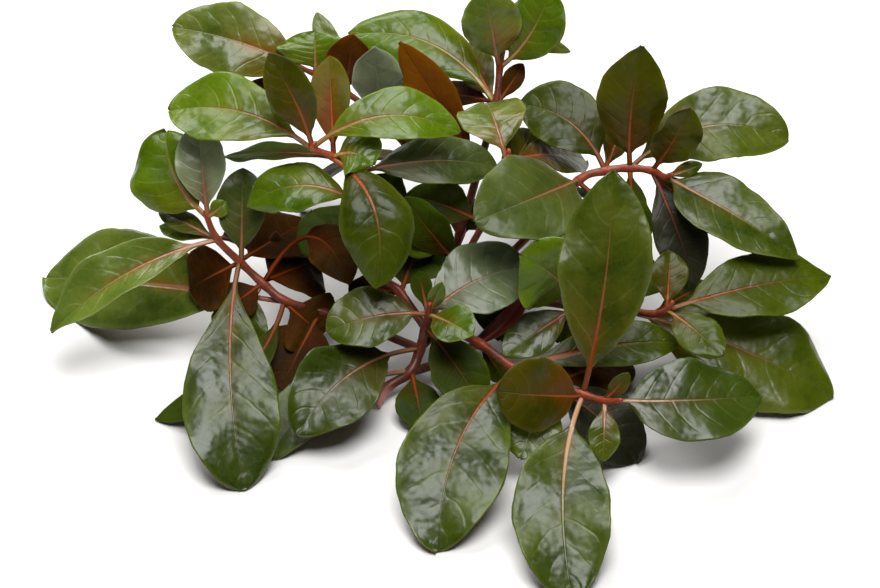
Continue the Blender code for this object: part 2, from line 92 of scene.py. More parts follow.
# Half the width of the midrib's colour at the blade's base and tip
RIB_AT_BASE = 0.42
RIB_AT_TIP = 0.1

# Side veins: how many pairs, how far each climbs to the margin, how it curves and how the sides differ
VEIN_PAIRS = 6.5
VEIN_SLANT = 0.22
VEIN_CURVE = 1.4
VEIN_STAGGER = 0.3

# How far a blade puffs up between its side veins where half its width is at least FULL_PUFFS, and how
# uneven the puffs are
QUILTING = 0.17
FULL_PUFFS = 6.0
UNEVEN_QUILTING = 0.9

# Waves of a blade's margin: how many along it, how far they shift from leaf to leaf, for each millimetre
# across the view, and how far one side's are ahead of the other's, in radians
WAVES_ALONG = 2.3
WAVE_SHIFT = 0.17
WAVE_STAGGER = 1.9

# How much leaves differ, as shares of their width, and how far a blade turns about its midrib, in radians
UNEVEN_HALVES = 0.1
RAGGED_MARGIN = 0.05
NICKED_MARGIN = 0.025
UNEVEN_ROLL = 0.12
UNEVEN_SURFACE = 0.03
UNEVEN_TWIST = 0.25

# How much lighter one leaf is than another and its tip than its base, as shares between its two greens
UNEVEN_TONE = 0.7
LIGHTER_TIP = 0.25

# A leaf's warm tint: how far it reaches beside its midrib, how much of it is gone by the middle of the
# blade, and how much it leans to one side
WARM_REACH = 2.2
WARM_FADE = 0.75
UNEVEN_WARMTH = 1.4

# Stem sizes. The skin is slimmer than the solid's plain tube, which carries the leaves.
STEM_SLIMNESS = 0.72
STEM_UNEVENNESS = 0.08
NODE_SWELLING = 1.22
NODE_LENGTH = 1.3
STEM_STEP = 0.8
STEM_ROUNDNESS = 4

# Points of a stem's mesh that are closer than this are merged
WELD = 0.01

# Heights between which stems come out of the shade, and the stems that are darker than that
SHADED_HEIGHTS = (5.0, 26.0)
STEM_SHADE = {"north_stem": 0.8, "back_stem": 0.6, "west_stem": 0.45}

# How orange a stem is at its nodes, and how far from the cut end its pale pith fades
PLAIN_NODE = 0.6
NODE_COLOUR = {"front_stem": 1.0, "northwest_stem": 0.8}
CUT_REACH = (2.2, 5.5)

# Sizes of what shows in the skins: blotches, puckers and bends of side veins, and a rind's patches and flecks
BLOTCH = 8.0
PUCKER = 2.5
VEIN_WANDER = 5.0
RIND_PATCH = 5.0
RIND_FLECK = 0.7

# The net of fine veins has meshes of about 0.5 mm, too fine to show in the render, so it is drawn coarser
NET = 1.3
NET_LINE = 0.12

# Half a side vein's width and how far it bends, as shares of the way from one vein to the next
VEIN_LINE = 0.11
VEIN_BEND = 0.22

# How much of the side veins' colour the net and the margin take
NET_SHARE = 0.06
MARGIN_SHARE = 0.3

# Rows of faces along a leaf, closer together towards its tip, and columns across it
PETIOLE_ROWS = 5
CLOSER_AT_TIP = 1.5
LARGE_LEAF_ROWS = 34
LARGE_LEAF_COLUMNS = 16
YOUNG_LEAF_ROWS = 22
YOUNG_LEAF_COLUMNS = 12

# Shares of a blade's length at which the solids give its width
BLADE_STATIONS = (0.1, 0.28, 0.52, 0.76, 0.93, 1.0)

# What each point of a leaf's mesh keeps for its skins: how far along and how far out it is, and its tints
LEAF_MARKS = ("along", "rib", "phase", "vein_fade", "margin", "tone", "warmth", "redness")

Look = namedtuple("Look", "name deep light vein rib blush blush_share back roughness shine")
# A kind of leaf: its two greens, side veins, midrib, warm base and how much of that shows, and underside
GREEN = Look("green", "#273702", "#506102", "#728038", "#bc9070", "#5c3c02", 0.55, "#4c3010", 0.29, 0.46)
DEEP = Look("deep_green", "#1d2a02", "#3a4d02", "#5c6c38", "#b48c6c", "#4a3002", 0.5, "#402a0e", 0.28, 0.5)
BRIGHT = Look("fresh", "#344e02", "#5c7902", "#86983c", "#c0a070", "#6e5402", 0.4, "#503c14", 0.27, 0.4)
DARK = Look("shaded", "#1c2a00", "#384c00", "#4c5c14", "#80523a", "#382602", 0.7, "#2a1a08", 0.48, 0.07)
MOSS = Look("olive_green", "#2a3700", "#4a5900", "#647228", "#b07850", "#483602", 0.6, "#42300c", 0.3, 0.24)
OLIVE = Look("olive", "#2c3200", "#4a5000", "#60641c", "#a46430", "#5c3400", 0.6, "#4c2a08", 0.32, 0.22)
RUST = Look("rust", "#1c0e00", "#3c2400", "#58420c", "#804a24", "#481c00", 0.7, "#3c2208", 0.55, 0.06)
PALE = Look("pale", "#3c5010", "#667a28", "#92a060", "#c8947a", "#7c580a", 0.8, "#5a3c16", 0.26, 0.48)
# Partly painted light: an olive-brown leaf, warmer for the glow of light shining through it
BACKLIT_AMBER = Look("amber", "#363400", "#565400", "#6c6618", "#9c5428", "#643000", 1.3, "#6a300e", 0.45, 0.1)
ORANGE = Look("orange", "#522800", "#7c4800", "#865a18", "#964c20", "#5e2000", 0.7, "#6e340e", 0.45, 0.1)
CRIMSON = Look("crimson", "#5c120c", "#9a3a30", "#ac5448", "#b05c4c", "#3c0c06", 0.4, "#6a1c14", 0.34, 0.45)
DULL = Look("dull", "#2a380c", "#4c5c1c", "#707c50", "#9c7454", "#4e4010", 0.5, "#4a3418", 0.38, 0.36)
# Partly painted sheen: a grey-green whose bluish grey stands in for some of the leaf's sheen
SHEENED_GREY = Look("grey", "#3c4824", "#626f4c", "#828e74", "#a88470", "#544a24", 0.4, "#4a3418", 0.3, 0.55)
# Painted sheen: a grey-green coloured pale to stand in for the grey sheen of leaves that face the eye
SHEENED_GREEN = Look("ashen", "#6a7850", "#98a480", "#b0ba9c", "#b08a74", "#62502c", 0.5, "#54402a", 0.3, 0.55)
# Painted shade: near-black greys for leaves set where the plant lies in deep shade
DEEP_SHADE = Look("charcoal", "#121408", "#282a16", "#3e4034", "#604a38", "#281e0c", 0.5, "#241a10", 0.4, 0.26)

# A red midrib, a stem's rind in dark and light patches, at nodes, in flecks and in shade, and its pith
RED_RIB = "#8e3410"
DARK_RIND = "#421608"
LIGHT_RIND = "#8a4826"
NODE_RIND = "#b23c0e"
FLECKED_RIND = "#a4664a"
SHADED_RIND = "#30100a"
PITH = "#d08c80"

Stem = namedtuple("Stem", "name parent fork points")
Leaf = namedtuple(
    "Leaf",
    "name stem node tip width facing arch bend petiole fold widest colour base point",
    defaults=((0.0, -0.45, 0.9), 2.0, 0.0, 0.12, 0.12, 0.54, GREEN, 0.68, 0.64),
)

# Each stem runs from its fork to its tip: (across, rise, height, radius). Its points are its leaf nodes.
STEMS = (
    Stem("main_stem", None, None, (
        (-12.6, -22.2, 1.2, 1.2), (-10.4, -18.6, 3.4, 1.3), (-6.0, -15.6, 5.4, 1.4), (-4.0, -11.0, 8.5, 1.4),
        (-3.0, -6.8, 13.0, 1.2), (-2.4, -4.0, 18.0, 0.9), (-2.0, -1.8, 21.5, 0.5))),
    Stem("west_stem", "main_stem", 3, (
        (-15.0, -6.5, 8.0, 1.3), (-24.0, -3.5, 10.0, 1.3), (-31.0, -1.4, 13.0, 1.2), (-35.5, 2.2, 16.0, 1.2),
        (-40.0, 6.4, 20.0, 1.1), (-44.6, 11.0, 25.0, 1.0), (-46.6, 15.4, 29.0, 0.7),
        (-47.0, 16.8, 30.2, 0.4))),
    Stem("northwest_stem", "main_stem", 4, (
        (-8.0, 0.4, 16.0, 1.2), (-12.4, 4.0, 20.0, 1.2), (-15.0, 11.0, 27.0, 1.1), (-15.6, 18.0, 34.0, 1.1),
        (-17.0, 24.0, 39.0, 1.0), (-21.4, 27.4, 43.0, 1.0), (-25.6, 29.2, 45.5, 0.8),
        (-24.8, 30.4, 47.0, 0.4))),
    Stem("north_stem", "main_stem", 3, (
        (0.0, 0.0, 10.0, 1.3), (4.0, 12.0, 17.0, 1.3), (8.0, 26.0, 28.0, 1.2), (11.2, 38.2, 40.0, 1.1),
        (12.0, 45.6, 46.0, 1.0), (12.8, 49.0, 50.0, 0.5))),
    Stem("back_stem", "north_stem", 2, (
        (-4.0, 26.0, 27.0, 1.0), (-12.0, 35.0, 35.0, 1.0), (-19.0, 40.5, 40.0, 0.9), (-25.0, 44.0, 43.0, 0.8),
        (-29.4, 45.8, 46.0, 0.4))),
    Stem("inner_stem", "north_stem", 1, (
        (4.0, 6.0, 17.0, 1.0), (8.6, 14.0, 26.0, 1.0), (11.6, 21.0, 33.0, 0.9), (13.4, 26.6, 38.0, 0.9),
        (13.8, 29.0, 40.5, 0.4))),
    Stem("northeast_stem", "north_stem", 0, (
        (10.0, 4.0, 13.5, 1.2), (19.0, 13.0, 21.0, 1.2), (27.6, 22.6, 30.0, 1.2), (33.0, 24.6, 32.0, 1.1),
        (38.0, 25.2, 33.0, 1.1), (42.6, 24.6, 34.0, 1.0), (45.0, 23.4, 35.0, 0.8), (46.6, 24.0, 37.0, 0.4))),
    Stem("east_stem", "main_stem", 2, (
        (5.0, -11.6, 5.0, 1.3), (16.0, -2.2, 11.0, 1.3), (27.0, -2.4, 12.5, 1.2), (36.0, -3.0, 14.5, 1.1),
        (42.6, -4.0, 17.0, 1.0), (45.4, -3.2, 19.5, 0.8), (46.6, -1.4, 22.0, 0.4))),
    Stem("front_stem", "main_stem", 4, (
        (2.4, -7.4, 12.4, 1.2), (8.0, -10.0, 12.0, 1.3), (15.2, -15.2, 11.6, 1.4), (22.0, -18.2, 12.6, 1.2),
        (28.6, -20.2, 14.0, 1.2), (33.0, -21.4, 15.6, 1.0), (36.4, -21.2, 18.0, 0.4))),
)

UP = (0.0, -0.2, 0.98)
LOW = (0.0, -0.45, 0.9)
FRONT = (0.0, -0.85, 0.5)
STANDING = (0.0, -0.98, 0.2)
BACK = (0.0, 0.3, 0.95)

# The middle of a blade that lies on the surface
FLOOR = 0.225

# Each leaf grows from a node of its stem to its tip: (across, rise, height)
LEAVES = (
    # Shoot at the upper left, the tallest rosette
    Leaf("nw_left_leaf", "northwest_stem", 6, (-54.0, 36.6, 47.0), 16.2, (-0.1, -0.5, 0.86), 2.5, -2.8,
         widest=0.6, point=0.55),
    Leaf("nw_right_leaf", "northwest_stem", 6, (4.0, 32.2, 47.0), 11.4, (0.0, -0.5, 0.86), 4.0, 3.6,
         colour=BRIGHT, point=0.75),
    Leaf("nw_upright_leaf", "northwest_stem", 6, (-34.4, 48.0, 64.0), 9.4, STANDING, 1.5, -1.2,
         colour=OLIVE),
    Leaf("nw_front_leaf", "northwest_stem", 5, (-13.0, 1.2, 27.0), 15.0, (0.2, -0.6, 0.78), 6.0, 3.4,
         colour=OLIVE),
    Leaf("nw_small_leaf", "northwest_stem", 5, (-13.4, 25.8, 44.0), 12.0, LOW, 1.0, 1.2, colour=BRIGHT),
    Leaf("nw_edge_leaf", "northwest_stem", 5, (-43.0, 27.4, 35.0), 8.6, (0.0, 0.15, 1.0), 1.0, colour=DARK),
    Leaf("nw_low_left_leaf", "northwest_stem", 3, (-38.6, 17.6, 33.0), 11.0, LOW, 3.5, -2.7, colour=BRIGHT),
    Leaf("nw_low_right_leaf", "northwest_stem", 4, (11.6, 25.4, 36.0), 11.5, LOW, 2.5, 0.8, colour=DARK),
    # Shoot behind it
    Leaf("back_left_leaf", "back_stem", 3, (-53.4, 53.4, 50.0), 15.4, (-0.1, -0.7, 0.7), 2.0, -1.2,
         point=0.55),
    Leaf("back_top_leaf", "back_stem", 3, (-25.0, 52.4, 50.0), 15.0, (0.0, -0.6, 0.8), 1.0, colour=BRIGHT),
    # Shoot at the top
    Leaf("north_arch_leaf", "north_stem", 3, (-18.2, 51.8, 48.0), 14.0, (0.0, -0.4, 0.9), 3.0, -4.6),
    Leaf("north_rust_leaf", "north_stem", 2, (-8.0, 50.4, 57.0), 9.4, FRONT, 1.0, colour=RUST, point=0.75),
    Leaf("north_top_left_leaf", "north_stem", 4, (9.0, 61.0, 63.0), 12.6, FRONT, 1.0),
    Leaf("north_top_right_leaf", "north_stem", 4, (22.0, 61.0, 62.0), 12.6, FRONT, 1.0, -1.4),
    # Low leaves behind, on the surface
    Leaf("back_low_left_leaf", "back_stem", 0, (-28.0, 16.6, FLOOR), 15.0, BACK, 6.0, colour=DARK),
    Leaf("back_low_right_leaf", "north_stem", 1, (30.0, 19.0, FLOOR), 15.0, BACK, 6.0, colour=DARK),
    # Shoot in the middle of the back
    Leaf("inner_top_leaf", "inner_stem", 3, (9.0, 38.0, 41.0), 14.4, (0.0, -0.5, 0.86), 4.0),
    Leaf("inner_low_leaf", "inner_stem", 1, (-6.6, 19.6, 26.8), 12.0, LOW, 2.0, colour=DARK),
    Leaf("inner_left_leaf", "inner_stem", 0, (-7.0, 19.4, 35.0), 9.0, STANDING, 1.0, colour=DARK),
    # Shoot at the upper right
    Leaf("ne_round_leaf", "northeast_stem", 2, (7.0, 14.4, 35.0), 20.4, (0.0, -0.5, 0.86), 2.5, 1.0, 0.06,
         widest=0.46, base=0.6, point=0.55),
    Leaf("ne_back_leaf", "northeast_stem", 3, (15.6, 38.0, 40.0), 14.6, LOW, 2.0, -2.8, base=0.55),
    Leaf("ne_upright_leaf", "northeast_stem", 4, (40.4, 49.6, 60.0), 14.4, STANDING, 1.5, 1.0, colour=OLIVE,
         base=0.54, point=0.75),
    Leaf("ne_small_upright_leaf", "northeast_stem", 5, (50.0, 37.4, 50.0), 9.8, STANDING, 1.0, -0.2,
         colour=OLIVE),
    Leaf("ne_far_right_leaf", "northeast_stem", 4, (69.6, 30.8, 38.0), 16.4, LOW, 4.5, 4.0, 0.08,
         point=0.55),
    Leaf("ne_right_leaf", "northeast_stem", 6, (72.0, 7.0, 25.0), 14.8, (0.2, -0.4, 0.9), 2.0, -0.4, 0.05,
         widest=0.4, point=0.75),
    # Shoot in the middle
    Leaf("centre_right_leaf", "main_stem", 5, (17.4, 5.4, 21.0), 16.4, LOW, 2.0, 1.2, 0.06, colour=DARK,
         base=0.6, point=0.55),
    Leaf("centre_left_leaf", "main_stem", 5, (-22.6, -7.6, 16.5), 13.0, LOW, 2.0, -0.6, base=0.6,
         point=0.55),
    Leaf("centre_small_leaf", "main_stem", 5, (6.6, -8.4, 20.0), 9.0, LOW, 1.0, colour=BRIGHT),
    Leaf("centre_front_leaf", "main_stem", 4, (8.6, -22.6, 5.0), 11.4, LOW, 2.0, colour=DARK),
    Leaf("centre_low_left_leaf", "main_stem", 3, (-28.6, -28.4, 5.5), 16.6, LOW, 3.0, -3.0, 0.2),
    Leaf("centre_floor_left_leaf", "main_stem", 2, (-34.4, -33.4, FLOOR), 13.6, UP, 1.0, -4.5),
    # Long shoot at the left
    Leaf("west_upright_leaf", "west_stem", 6, (-48.4, 33.8, 43.8), 10.6, STANDING, 1.0, colour=DARK,
         point=0.55),
    Leaf("west_back_leaf", "west_stem", 6, (-54.6, 32.4, 37.5), 19.4, (-0.3, -0.6, 0.75), 1.5, 2.0,
         colour=BRIGHT, base=0.6, point=0.55),
    Leaf("west_far_leaf", "west_stem", 5, (-77.6, -7.6, 12.0), 12.0, LOW, 3.0, -1.8, fold=0.4,
         colour=BRIGHT, point=0.75),
    Leaf("west_wide_leaf", "west_stem", 2, (-78.6, 3.2, 1.95), 22.0, (-0.1, -0.6, 0.8), 4.0,
         widest=0.62, point=0.55),
    Leaf("west_front_leaf", "west_stem", 4, (-39.2, -39.4, FLOOR), 19.4, BACK, 5.0, -2.2,
         widest=0.64, point=0.54),
    Leaf("west_inner_leaf", "west_stem", 4, (-39.4, 25.2, 36.0), 10.4, FRONT, 1.0, colour=DARK, point=0.6),
    Leaf("west_right_leaf", "west_stem", 3, (-18.0, 2.0, 20.0), 10.4, LOW, 3.0, 9.0, 0.45, colour=DARK),
    Leaf("west_shade_leaf", "west_stem", 3, (-42.0, -11.0, 6.0), 12.6, LOW, 1.0, petiole=0.2, colour=RUST),
    Leaf("west_floor_leaf", "west_stem", 2, (-57.0, -25.0, 0.5), 9.4, UP, 1.0, 6.6, colour=DARK),
    # Shoot at the right
    Leaf("east_far_leaf", "east_stem", 5, (78.2, 3.6, 20.0), 15.0, LOW, 2.0, 0.4, base=0.55, point=0.75),
    Leaf("east_low_leaf", "east_stem", 3, (78.6, -20.8, 0.4), 23.0, (0.2, -0.4, 0.9), 3.0, 0.6, point=0.55),
    Leaf("east_left_leaf", "east_stem", 2, (16.0, 7.8, 30.0), 17.0, FRONT, 1.0, -1.6, colour=BRIGHT,
         base=0.6),
    # Shoot at the front right
    Leaf("front_standing_leaf", "front_stem", 4, (34.6, 24.8, 52.0), 18.6, (0.0, -0.9, 0.4), 2.0, -1.2,
         point=0.75),
    Leaf("front_left_leaf", "front_stem", 2, (-0.6, -51.6, FLOOR), 21.4, (0.0, -0.3, 0.95), 5.0, -3.6,
         base=0.6, point=0.55),
    Leaf("front_long_leaf", "front_stem", 2, (48.0, -9.6, 13.0), 10.2, LOW, 2.0, 0.7, 0.06, widest=0.62),
    Leaf("front_olive_leaf", "front_stem", 4, (11.4, -19.4, 18.0), 15.4, FRONT, 1.5, petiole=0.06,
         colour=OLIVE, base=0.6, point=0.55),
    Leaf("front_middle_leaf", "front_stem", 4, (26.4, -61.0, FLOOR), 19.0, (0.0, -0.3, 0.95), 4.0, -2.8,
         0.18, point=0.5),
    Leaf("front_right_leaf", "front_stem", 5, (64.0, -20.4, 11.0), 17.6, LOW, 2.5, -1.5, widest=0.46),
    Leaf("front_floor_leaf", "front_stem", 3, (39.0, -33.8, FLOOR), 15.4, UP, 1.0, 1.5, colour=DARK,
         point=0.55),
)

# Young leaves and small inner ones, grown together with the stem that they sit on
YOUNG_LEAVES = (
    Leaf("west_young_a", "west_stem", 5, (-56.2, 16.6, 25.0), 5.0, LOW, 0.5, colour=RUST),
    Leaf("west_young_b", "west_stem", 6, (-42.8, 18.4, 31.5), 4.0, FRONT, 0.5, colour=BRIGHT),
    Leaf("west_young_c", "west_stem", 5, (-56.0, 13.6, 20.5), 5.0, LOW, 0.5, colour=BRIGHT),
    Leaf("west_under_a", "west_stem", 2, (-23.6, -8.4, 6.5), 16.0, LOW, 0.5, colour=RUST, base=1.2,
         point=0.5),
    Leaf("west_under_d", "west_stem", 1, (-32.0, -19.0, 2.5), 15.6, LOW, 0.5, colour=RUST, point=0.6),
    Leaf("west_under_e", "west_stem", 4, (-26.6, 14.6, 14.5), 15.6, LOW, 0.5, colour=RUST, point=0.64),
    Leaf("west_under_b", "west_stem", 4, (-50.0, 1.0, 13.0), 15.0, LOW, 0.5, colour=RUST, point=0.5),
    Leaf("west_under_c", "west_stem", 3, (-25.0, 6.4, 12.0), 17.0, LOW, 0.5, colour=RUST, point=0.5),
    Leaf("nw_back_leaf", "northwest_stem", 5, (-22.0, 47.6, 55.0), 8.4, STANDING, 1.0, colour=OLIVE),
    Leaf("nw_under_a", "northwest_stem", 1, (-25.4, 16.6, 21.0), 16.0, LOW, 0.5, colour=DARK, point=0.5),
    Leaf("nw_under_b", "northwest_stem", 2, (-1.0, 13.2, 20.2), 15.0, LOW, 0.5, colour=DARK, point=0.64),
    Leaf("nw_under_d", "northwest_stem", 4, (-7.4, 15.8, 29.0), 11.0, LOW, 0.5, colour=DARK),
    Leaf("nw_under_c", "northwest_stem", 0, (-4.0, 10.8, 18.0), 16.0, LOW, 0.5, colour=DARK, point=0.64),
    Leaf("back_rust_leaf", "back_stem", 2, (-17.4, 52.0, 57.0), 10.0, FRONT, 1.0, colour=RUST),
    Leaf("back_grey_leaf", "back_stem", 1, (-13.0, 49.4, 57.5), 11.0, STANDING, 1.0),
    Leaf("back_young", "back_stem", 2, (-24.6, 56.2, 46.0), 5.4, FRONT, 0.5),
    Leaf("back_under", "back_stem", 0, (-2.0, 40.0, 42.0), 13.0, FRONT, 0.5, colour=OLIVE, point=0.64),
    Leaf("north_young", "north_stem", 5, (26.0, 48.4, 43.0), 4.2, LOW, 1.0, 1.0),
    Leaf("north_under_a", "north_stem", 3, (5.0, 49.8, 41.0), 8.0, FRONT, 0.5, colour=OLIVE, point=0.5),
    Leaf("north_under_b", "north_stem", 1, (8.0, 18.8, 20.0), 14.0, LOW, 0.5, colour=DARK, point=0.64),
    Leaf("inner_right_leaf", "inner_stem", 3, (29.0, 26.6, 22.0), 10.0, LOW, 2.0, colour=OLIVE),
    Leaf("ne_young_a", "northeast_stem", 5, (48.6, 16.4, 26.0), 8.0, LOW, 0.5, colour=DARK),
    Leaf("ne_young_b", "northeast_stem", 5, (54.0, 12.4, 22.0), 4.8, LOW, 0.5, -1.6, colour=RUST),
    Leaf("ne_shade_leaf", "northeast_stem", 5, (51.0, 2.0, 17.0), 11.0, LOW, 2.0, petiole=0.12, colour=DARK),
    Leaf("ne_under", "northeast_stem", 2, (41.0, 9.6, 20.0), 14.0, LOW, 0.5, colour=DARK, point=0.5),
    Leaf("centre_young", "main_stem", 5, (0.4, 2.4, 26.0), 3.4, FRONT, 0.5, colour=BRIGHT),
    Leaf("centre_floor_front_leaf", "main_stem", 2, (-3.4, -27.6, 0.8), 9.6, UP, 1.0, colour=DARK),
    Leaf("east_curled", "east_stem", 0, (18.6, 3.4, 20.0), 3.6, FRONT, 1.0, -2.0, colour=RUST),
    Leaf("east_under_a", "east_stem", 1, (12.0, -9.2, 5.0), 19.0, LOW, 0.5, colour=DARK, point=0.5),
    Leaf("east_under_d", "east_stem", 2, (24.0, -9.6, 4.5), 15.0, LOW, 0.5, colour=DARK, point=0.6),
    Leaf("east_under_e", "east_stem", 3, (40.0, 8.0, 18.0), 15.0, LOW, 0.5, colour=DARK, point=0.5),
    Leaf("east_under_b", "east_stem", 2, (12.8, -12.4, 8.0), 9.6, LOW, 0.5),
    Leaf("east_under_c", "east_stem", 3, (36.0, -13.4, 6.0), 11.0, LOW, 0.5, colour=RUST, point=0.64),
    Leaf("east_front_leaf", "east_stem", 5, (56.4, -12.4, 19.0), 9.0, LOW, 1.5, point=0.55),
    Leaf("east_young", "east_stem", 5, (46.0, 8.6, 27.0), 7.5, FRONT, 0.5, colour=OLIVE),
    Leaf("front_young_a", "front_stem", 5, (37.8, -15.8, 22.0), 3.6, FRONT, 0.5, colour=OLIVE),
    Leaf("front_young_b", "front_stem", 5, (32.6, -33.4, 8.0), 6.4, FRONT, 1.0),
    Leaf("front_shade", "front_stem", 3, (37.4, -12.6, 3.0), 14.0, LOW, 0.5, colour=RUST, point=0.64),
    Leaf("north_under_c", "north_stem", 3, (-2.0, 40.4, 31.0), 7.0, LOW, 0.5, colour=RUST),
    Leaf("north_young_b", "north_stem", 3, (16.6, 46.0, 45.0), 4.4, FRONT, 0.5, colour=RUST),
    Leaf("ne_under_b", "northeast_stem", 3, (36.6, 34.8, 34.4), 6.0, FRONT, 0.5, colour=OLIVE),
    Leaf("west_under_g", "west_stem", 3, (-43.0, -3.6, 13.0), 8.6, LOW, 0.5, colour=RUST),
    Leaf("west_under_f", "west_stem", 5, (-37.0, 10.0, 13.0), 6.4, LOW, 0.5, colour=RUST),
    Leaf("centre_young_b", "main_stem", 5, (-4.2, 4.6, 19.0), 4.4, FRONT, 0.5, colour=DARK),
    Leaf("nw_under_f", "northwest_stem", 0, (-18.2, 1.6, 13.0), 7.0, LOW, 0.5, colour=RUST),
    Leaf("front_under_b", "front_stem", 1, (13.0, -17.4, 4.0), 6.0, LOW, 0.5, colour=DARK),
    Leaf("back_young_b", "back_stem", 2, (-40.0, 41.0, 38.0), 6.0, FRONT, 0.5, colour=RUST),
    Leaf("ne_young_c", "northeast_stem", 6, (52.4, 26.0, 37.0), 3.2, FRONT, 0.5),
    Leaf("ne_under_c", "northeast_stem", 4, (38.6, 13.0, 24.0), 6.0, LOW, 0.5, colour=DARK),
    Leaf("inner_under_b", "inner_stem", 2, (18.6, 33.0, 33.0), 8.0, FRONT, 0.5, colour=OLIVE),
    Leaf("east_under_f", "east_stem", 4, (54.0, 2.4, 11.0), 6.0, LOW, 0.5, colour=DARK),
    Leaf("front_under", "front_stem", 3, (16.0, -32.8, 6.0), 12.0, LOW, 1.0, point=0.5),
)

# Leaves whose blade rolls its edges down, waves at its edge or turns about its midrib: (roll, wave, twist)
PLAIN_BLADE = (0.0, 0.035, 0.0)
BLADE_BENDS = {
    "west_far_leaf": (-0.3, 0.05, 0.35),
    "west_back_leaf": (0.15, 0.06, 0.0),
    "west_front_leaf": (0.0, 0.05, 0.0),
    "nw_low_left_leaf": (0.2, 0.07, 0.0),
    "nw_front_leaf": (0.25, 0.03, 0.2),
    "centre_low_left_leaf": (-0.1, 0.05, 0.0),
    "front_middle_leaf": (-0.05, 0.045, 0.0),
    "east_low_leaf": (0.2, 0.05, 0.0),
    "front_left_leaf": (-0.05, 0.045, 0.0),
    "ne_small_upright_leaf": (-0.3, 0.08, 0.3),
    "north_arch_leaf": (0.3, 0.03, 0.0),
}

# Leaves that look unlike what their row says
OTHER_LOOKS = {
    "front_right_leaf": DEEP,
    "north_top_left_leaf": PALE,
    "east_curled": CRIMSON,
    "ne_young_b": CRIMSON,
    "centre_right_leaf": SHEENED_GREY,
    "centre_low_left_leaf": DEEP,
    "north_arch_leaf": BRIGHT,
    "nw_front_leaf": MOSS,
    "nw_left_leaf": BRIGHT,
    "west_far_leaf": PALE,
    "ne_back_leaf": MOSS,
    "north_top_right_leaf": BRIGHT,
    "back_left_leaf": PALE,
    "west_wide_leaf": PALE,
    "west_upright_leaf": SHEENED_GREEN,
    "ne_round_leaf": DULL,
    "back_grey_leaf": SHEENED_GREEN,
    "centre_floor_left_leaf": DULL,
    "ne_shade_leaf": DEEP_SHADE,
    "front_floor_leaf": DEEP_SHADE,
    "inner_top_leaf": PALE,
    "nw_back_leaf": BACKLIT_AMBER,
    "north_rust_leaf": ORANGE,
    "back_rust_leaf": ORANGE,
    "west_shade_leaf": MOSS,
    "west_inner_leaf": DULL,
    "east_far_leaf": MOSS,
    "east_front_leaf": MOSS,
    "front_long_leaf": MOSS,
    "west_young_a": GREEN,
    "west_right_leaf": RUST,
    "nw_low_right_leaf": DULL,
}

# Leaves whose midrib is wider than their kind's
RIB_WIDTHS = {
    "front_long_leaf": 2.2,
    "west_wide_leaf": 2.3,
    "front_middle_leaf": 1.5,
    "nw_front_leaf": 1.6,
    "west_back_leaf": 1.5,
}

# How red a leaf's midrib is: 0 pale, 1 orange-red
PLAIN_REDNESS = 0.5
UNEVEN_REDNESS = 0.5
RIB_REDNESS = {
    "front_middle_leaf": 0.0,
    "front_right_leaf": 0.15,
    "front_left_leaf": 1.0,
    "front_standing_leaf": 1.0,
    "west_front_leaf": 0.7,
    "west_wide_leaf": 0.6,
    "east_far_leaf": 0.9,
    "nw_front_leaf": 0.8,
    "nw_left_leaf": 0.9,
    "back_left_leaf": 0.2,
    "north_arch_leaf": 0.2,
    "ne_far_right_leaf": 0.1,
    "ne_right_leaf": 0.1,
}

# Leaves with more or less of the warm tint at their base than their kind
BASE_WARMTH = {
    "nw_left_leaf": 1.6,
    "back_left_leaf": 0.9,
    "nw_front_leaf": 0.6,
    "west_wide_leaf": 0.3,
    "west_far_leaf": 0.2,
    "nw_low_right_leaf": 1.2,
    # front_olive's warm tint is partly its own and partly painted glow of light shining through it
    "front_olive_leaf": 2.0,
    "ne_upright_leaf": 1.2,
    "front_left_leaf": 0.2,
    "front_middle_leaf": 0.1,
    "front_right_leaf": 0.4,
    "ne_right_leaf": 0.3,
    "east_far_leaf": 0.6,
    "west_front_leaf": 0.3,
}

# Softboxes: name, place, side and power, in metres and watts
SOFTBOXES = (
    ("back_softbox", (-0.22, 0.6, 0.78), 0.56, 7.2),
    ("top_softbox", (0.06, -0.14, 0.93), 0.56, 9.7),
)
LIT_POINT = Vector((0.0, 0.0, 0.02))
FLOOR_REACH = 3.0
FILL_LIGHT = 0.03


def toward_eye():
    """The direction from the plant to the front view's eye."""
    return Vector((0.0, -math.cos(VIEW_ELEVATION), math.sin(VIEW_ELEVATION)))


def colour_of(text):
    """An sRGB hex colour as linear light."""
    values = [int(text[i:i + 2], 16) / 255 for i in (1, 3, 5)]
    return tuple(v / 12.92 if v <= 0.04045 else ((v + 0.055) / 1.055) ** 2.4 for v in values) + (1.0,)


def place(across, rise, height):
    """The point at this height that shows at (across, rise) from the front."""
    up = Vector((0.0, math.sin(VIEW_ELEVATION), math.cos(VIEW_ELEVATION)))
    eye = VIEW_CENTRE + VIEW_DISTANCE * toward_eye()
    seen = VIEW_CENTRE + across * Vector((1.0, 0.0, 0.0)) + rise * up
    share = (height - eye.z) / (seen.z - eye.z)
    return eye + share * (seen - eye)


def bezier(ends, t):
    """A point and a direction on a quadratic curve."""
    a, b, c = ends
    point = a * (1 - t) ** 2 + b * 2 * t * (1 - t) + c * t**2
    direction = (b - a) * 2 * (1 - t) + (c - b) * 2 * t
    return point, direction.normalized()


def catmull(points, i, t):
    """A point between points i and i + 1, on a smooth curve through all of them."""
    a = points[max(i - 1, 0)]
    b, c = points[i], points[i + 1]
    d = points[min(i + 2, len(points) - 1)]
    square = 2 * a - 5 * b + 4 * c - d
    cube = 3 * b - a - 3 * c + d
    return 0.5 * (2 * b + (c - a) * t + square * t**2 + cube * t**3)


def ramp(low, high, x):
    """0 below low, 1 above high and smooth between."""
    t = min(max((x - low) / (high - low), 0.0), 1.0)
    return t * t * (3 - 2 * t)


